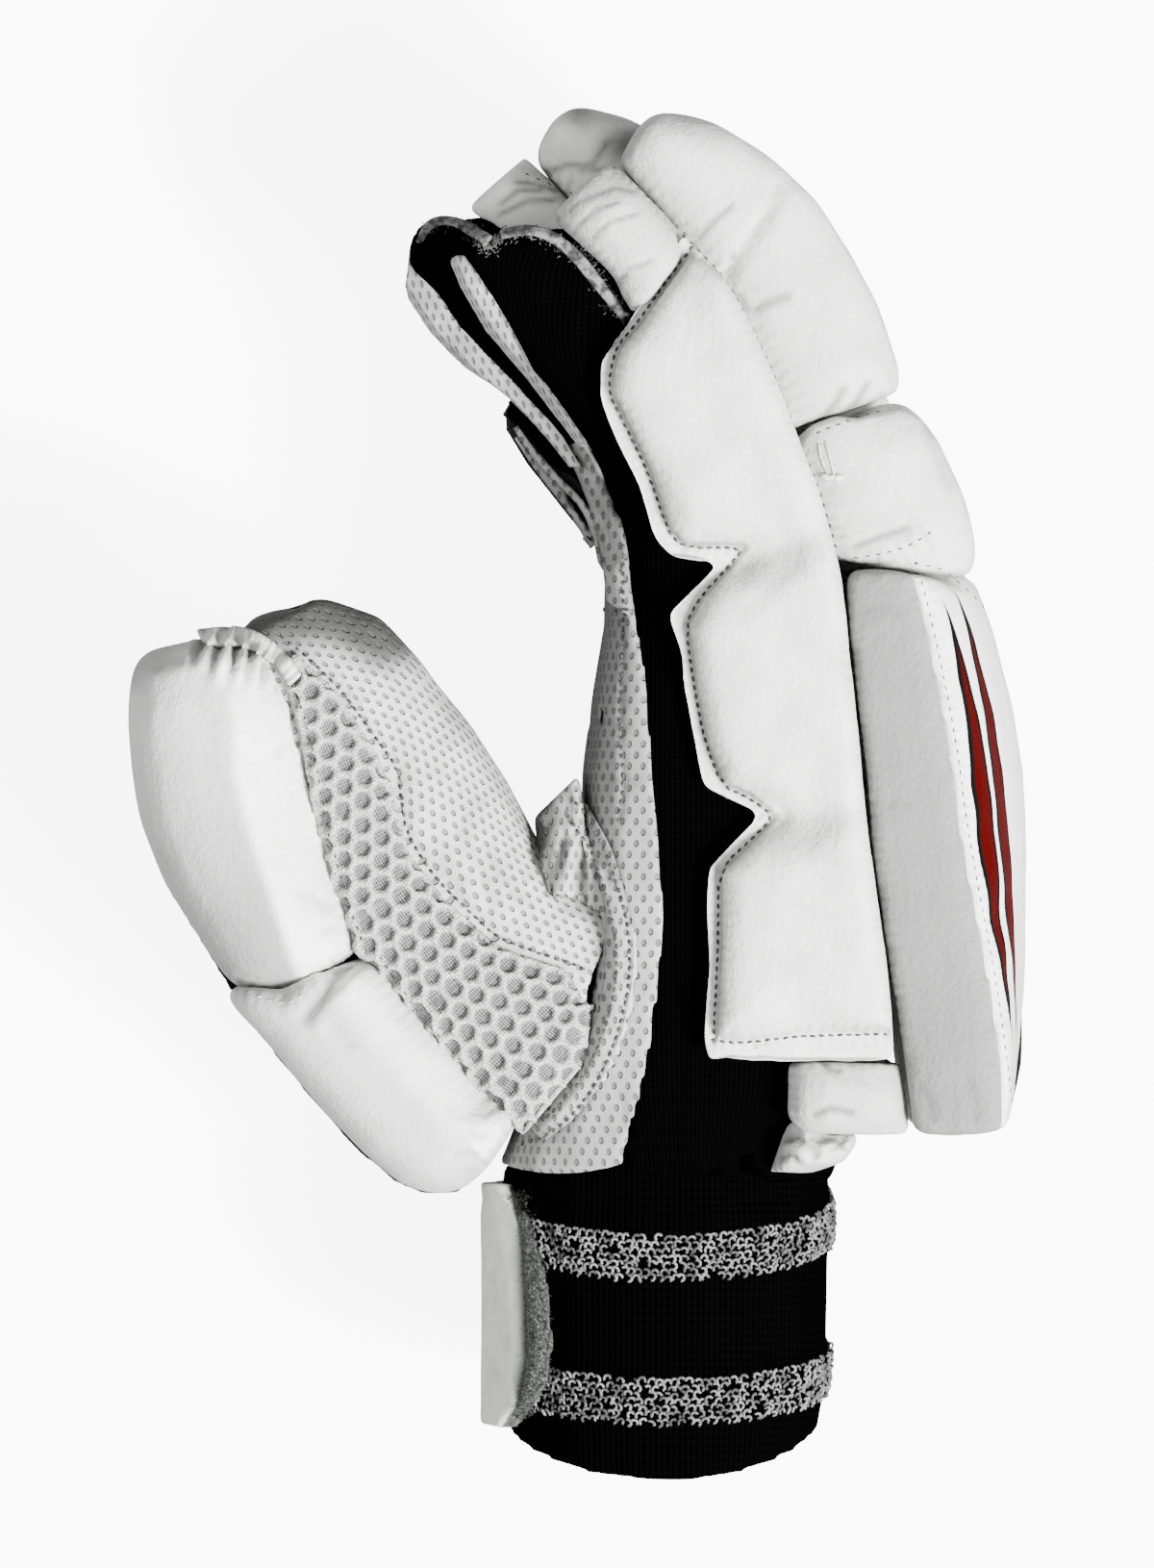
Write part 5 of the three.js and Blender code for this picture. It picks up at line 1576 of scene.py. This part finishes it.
def ribbon(
    name, node, slot, left, right, skin,
    lift=0.5, across=8, pitch=0.7, wall=0.8, gather=0.0, material=None, dull=0.2,
):
    """Leather laid on the pieces between two lines drawn on the photograph."""
    left = rounded_line(spot(left), 2)
    right = rounded_line(spot(right), 2)
    rows = int(np.linalg.norm(np.diff(left, axis=0), axis=1).sum() / pitch)
    bm = bmesh.new()
    bmesh.ops.create_grid(bm, x_segments=across, y_segments=rows, size=0.5)
    shares = np.array([(vert.co.x + 0.5, 0.5 - vert.co.y) for vert in bm.verts])
    flat = at_share(left, shares[:, 1]) * (1 - shares[:, :1])
    flat = flat + at_share(right, shares[:, 1]) * shares[:, :1]
    level = 0.0
    around = [(0, 0), (1.4, 0), (-1.4, 0), (0, 1.4), (0, -1.4)]
    for vert, place, share in zip(bm.verts, flat, shares):
        hits = [skin.drop((place[0] + x, place[1] + y, ABOVE_ALL), DOWN) for x, y in around]
        level = max([hit[0][2] for hit in hits if hit] or [level])
        crown = lift * (0.35 + 0.65 * math.sin(math.pi * min(max(share[0], 0.0), 1.0)))
        fold = gather * math.sin(share[1] * rows * 1.9 + 1.7 * math.sin(share[1] * 23))
        vert.co = Vector((place[0], place[1], level + crown + fold)) * MM
    for _ in range(3):
        bmesh.ops.smooth_vert(bm, verts=bm.verts, factor=0.5, use_axis_z=True)
    bmesh.ops.recalc_face_normals(bm, faces=bm.faces)
    obj = from_bmesh(name, bm)
    thickness = obj.modifiers.new("wall", "SOLIDIFY")
    thickness.thickness = wall * MM
    thickness.offset = -1 if obj.data.polygons[0].normal.z > 0 else 1
    apply_modifiers(obj)
    smooth_shading(obj)
    form = Form(obj)
    side = np.minimum(along_line(form.points[:, :2], left)[0], along_line(form.points[:, :2], right)[0])
    # Painted shade along both edges, with some random dirt, and grey tone
    form.dirt = bump(side, 0.55) * 0.5 + np.clip(wobble(form.points, 2.0, 301), 0, 1) * 0.2
    form.dull = dull + 0.2 * wobble(form.points, 12.0, 302)
    lie(obj, form.points[:, 0], form.points[:, 1])
    form.done()
    return dress(obj, material or slot, node)


ROOTS = Skin(finished("hand_shell", "finger_stall", "palm_leather"))
RING_SKIN = Skin(finished("finger_stall_ring", "finger_stall_little", "finger_strip_ring", "hand_shell"))
ribbon(
    "palm_top",
    "palm_leather",
    "perforated_leather",
    [(584, 466), (596, 484), (606, 506), (615, 530), (621, 556), (627, 590), (630, 625)],
    [(604, 458), (618, 484), (632, 512), (643, 542), (650, 572), (656, 610), (660, 645)],
    ROOTS, dull=0.55,
)
ribbon(
    "binding_band",
    "palm_binding",
    "perforated_leather",
    [
        (594, 838), (608, 868), (622, 905), (629, 950), (630, 985), (626, 1030), (615, 1074),
        (598, 1110), (574, 1142), (548, 1170),
    ],
    [
        (608, 836), (628, 868), (641, 898), (651, 932), (658, 970), (659, 1007), (654, 1044),
        (641, 1090), (622, 1130), (598, 1163), (566, 1186),
    ],
    Skin(finished("palm_", "hand_shell")), 0.7, 10, dull=0.5,
)
ribbon(
    "ring_strip",
    "finger_strip_ring",
    "perforated_leather",
    [(533, 442), (551, 470), (574, 496), (596, 516), (608, 532), (617, 556), (622, 580)],
    [(537, 440), (558, 468), (580, 492), (602, 512), (616, 534), (624, 560), (628, 590)],
    RING_SKIN, 0.4, 4,
)
ribbon(
    "little_strip",
    "finger_strip_little",
    "perforated_leather",
    [(534, 452), (556, 486), (580, 514), (600, 540), (614, 566)],
    [(537, 451), (561, 485), (585, 511), (605, 536), (620, 562)],
    RING_SKIN, 0.4, 4,
)

STALLS = Skin(finished("finger_", "tip_side", "hand_shell", "side_bar"))
ribbon(
    "rolled_edge_index",
    "finger_stall_index",
    "black_knit",
    [(520, 242), (545, 234), (575, 241), (602, 262), (624, 290), (652, 330)],
    [(522, 252), (544, 246), (568, 251), (592, 270), (614, 298), (646, 336)],
    STALLS, 1.2, 6, 0.5, 0.8, 0.25, material="raw_edge",
)
ribbon(
    "rolled_edge_middle",
    "finger_stall_middle",
    "black_knit",
    [(432, 250), (440, 229), (456, 221), (478, 224), (498, 234), (512, 248)],
    [(440, 250), (447, 238), (458, 231), (474, 234), (490, 246), (504, 258)],
    STALLS, 0.9, 6, 0.5, 0.8, 0.2, material="raw_edge",
)

PADS = Skin(finished(
    "tip_", "knuckle_", "side_bar", "back_side", "back_top", "wrist_pad", "wrist_flare", "thumb_"
))
PALM = Skin(finished("palm_", "binding_band", "thumb_", "hand_shell"))

stitches("bar_stitches", PADS, [BAR_STITCHES, BAR_FOOT_STITCHES])
stitches("bar_side_stitches", PADS, [BAR_RIGHT_EDGE], 2.2, 1.0, 0.5, 0.0, shift=-0.5)
stitches(
    "back_stitches",
    PADS,
    [BACK_RIDGE, [(951, 587), (983, 594), (1011, 618), (1024, 630)]],
    2.2, 1.1, 0.32, 0.06,
)
stitches(
    "roll_stitches",
    PADS,
    [
        [(639, 178), (675, 210), (712, 246)],
        [(850, 452), (880, 440), (912, 430)],
        [(878, 583), (919, 577), (946, 568), (964, 556)],
        [(548, 180), (572, 190), (594, 199)],
    ],
    2.1, 1.1, 0.34, 0.05,
)
ribbon(
    "thumb_gathers",
    "thumb_guard_upper",
    "white_leather",
    [(212, 668), (228, 672), (246, 668), (268, 676), (290, 694), (300, 712)],
    [(208, 654), (226, 652), (250, 650), (276, 660), (300, 680), (314, 700)],
    PADS, 1.1, 6, 0.35, 0.8, 0.55,
)
LOOSE_ENDS = {
    "loose_end": [(851, 466), (853, 480), (860, 496)],
    "loose_end_two": [(858, 464), (862, 480), (866, 496)],
}
for name, line in LOOSE_ENDS.items():
    stitches(name, PADS, [line], 0.7, 1.2, 0.5, 0.3, material="pale_thread")
stitches("loose_knot", PADS, [[(858, 498), (870, 499)]], 1.0, 2.4, 1.6, 0.4, material="pale_thread")
stitches("guard_stitches", PADS, [GUARD_SEAM_UPPER, GUARD_SEAM_LOWER], 2.2, 1.2, 0.4, 0.08, shift=0.6)
stitches(
    "guard_foot_stitches",
    PADS,
    [[(374, 981), (340, 1016), (308, 1040), (290, 1042), (267, 1033), (240, 1022)]],
    2.3, 1.2, 0.34, 0.05, material="pale_thread",
)
stitches("mesh_stitches", PALM, [MESH_SEAM], 1.9, 1.2, 0.75, 0.15)
stitches("binding_stitches", PALM, [PALM_BINDING_OUTER, PALM_BINDING_INNER], 1.8, 1.25, 0.8, 0.18)
stitches("palm_stitches", PALM, [PALM_LONG_SEAM, PALM_CROSS_SEAM], 1.9, 1.2, 0.7, 0.15)


# Looped grey bands round the cuff
def loop_template():
    """A small bent loop of yarn, open end down."""
    bm = bmesh.new()
    ring = bmesh.ops.create_circle(bm, segments=4, radius=0.33 * MM)["verts"]
    bmesh.ops.rotate(bm, verts=ring, matrix=Matrix.Rotation(math.pi / 2, 3, "X"))
    bmesh.ops.translate(bm, verts=ring, vec=Vector((0.72, 0, 0)) * MM)
    bmesh.ops.spin(
        bm,
        geom=list(bm.verts) + list(bm.edges),
        cent=(0, 0, 0),
        axis=(0, 0, 1),
        angle=math.radians(220),
        steps=5,
        use_merge=False,
    )
    bmesh.ops.holes_fill(bm, edges=[edge for edge in bm.edges if edge.is_boundary])
    bmesh.ops.recalc_face_normals(bm, faces=bm.faces)
    bm.verts.index_update()
    return bm


CUFF_SKIN = Skin(finished("wrist_cuff"))
BANDS = [("upper", -92.2, -99.4), ("lower", -124.2, -129.4)]
BAND_ROWS = 7
BAND_PITCH = 1.4
ROUND_THE_CUFF = 128


def cuff_band(name, side_level, front_level):
    rng = random.Random(name)
    matrices = []
    for row in range(BAND_ROWS):
        for step in range(ROUND_THE_CUFF):
            angle = (step + 0.5 * (row % 2) + rng.uniform(-0.2, 0.2)) / ROUND_THE_CUFF * 2 * math.pi
            level = side_level + (front_level - side_level) * math.sin(angle)
            level += (row - (BAND_ROWS - 1) / 2) * BAND_PITCH + rng.uniform(-0.3, 0.3)
            out = Vector((math.cos(angle), 0, math.sin(angle)))
            start = Vector((CUFF_MIDDLE[0], level, CUFF_MIDDLE[2])) + out * 60
            hit = CUFF_SKIN.drop(start, -out)
            if not hit or rng.random() < 0.04:
                continue
            normal = hit[1]
            along = normal.cross(Vector((0, 1, 0))).normalized()
            up = along.cross(normal).normalized()
            matrix = Matrix((along, up, normal)).transposed()
            turn = Matrix.Rotation(rng.uniform(-1.2, 1.2), 3, "Z")
            tip = Matrix.Rotation(rng.uniform(-0.5, 0.9), 3, "X")
            full = (matrix @ (turn @ tip)).to_4x4()
            full.translation = (hit[0] + normal * rng.uniform(0.15, 0.6)) * MM
            matrices.append(full)
    obj = scatter("cuff_loops_" + name, loop_template(), matrices)
    return dress(obj, "loop_yarn")


for band in BANDS:
    cuff_band(*band)


# Fuzz: short bent hairs
def hair_template(length, width):
    bm = bmesh.new()
    bmesh.ops.create_cone(
        bm, cap_ends=True, segments=3, radius1=width / 2 * MM, radius2=width / 5 * MM, depth=length * MM
    )
    bmesh.ops.translate(bm, verts=bm.verts, vec=(0, 0, length / 2 * MM))
    bm.verts.index_update()
    return bm


def fuzz(name, skin, line, count, spread, length, width, material):
    """Hairs rooted beside a line, each standing off the skin at its own slant."""
    rng = random.Random(name)
    path = rounded_line(spot(line), 1)
    marks = steps_along(path, 0.4)
    matrices = []
    for _ in range(count):
        point, way = rng.choice(marks)
        offset = np.array((-way[1], way[0])) * rng.gauss(0, spread)
        hit = skin.drop((point[0] + offset[0], point[1] + offset[1], ABOVE_ALL), DOWN)
        if not hit:
            continue
        slant = Vector((rng.uniform(-1, 1), rng.uniform(-1, 1), rng.uniform(-0.2, 1)))
        up = (hit[1] + slant).normalized()
        matrix = up.to_track_quat("Z", "Y").to_matrix() * rng.uniform(0.6, 1.25)
        full = matrix.to_4x4()
        full.translation = (hit[0] - hit[1] * 0.1) * MM
        matrices.append(full)
    obj = scatter(name, hair_template(length, width), matrices)
    return dress(obj, material)


STRAP_EDGE = [
    (533, 1244), (547, 1268), (558, 1325), (566, 1367), (567, 1402), (563, 1437), (552, 1461), (541, 1477),
]
STRAP_SKIN = Skin(finished("wrist_strap", "wrist_cuff"))
fuzz("strap_fuzz", STRAP_SKIN, STRAP_EDGE, 1200, 0.7, 0.8, 0.2, "strap_fuzz")
STRAP_BAND = [(540, 1240), (549, 1280), (554, 1330), (557, 1370), (558, 1410), (552, 1445), (540, 1475)]
fuzz("strap_band_fuzz", STRAP_SKIN, STRAP_BAND, 1500, 1.0, 0.7, 0.2, "strap_fuzz")

RAW_EDGES = [
    [(440, 232), (456, 226), (478, 230), (494, 240), (504, 262), (512, 262), (520, 246)],
    [(520, 246), (540, 240), (566, 246), (590, 262), (610, 276), (626, 300), (640, 322), (650, 336)],
]
for number, line in enumerate(RAW_EDGES):
    fuzz("raw_edge_" + str(number), STALLS, line, 700, 0.9, 1.1, 0.24, "raw_edge")
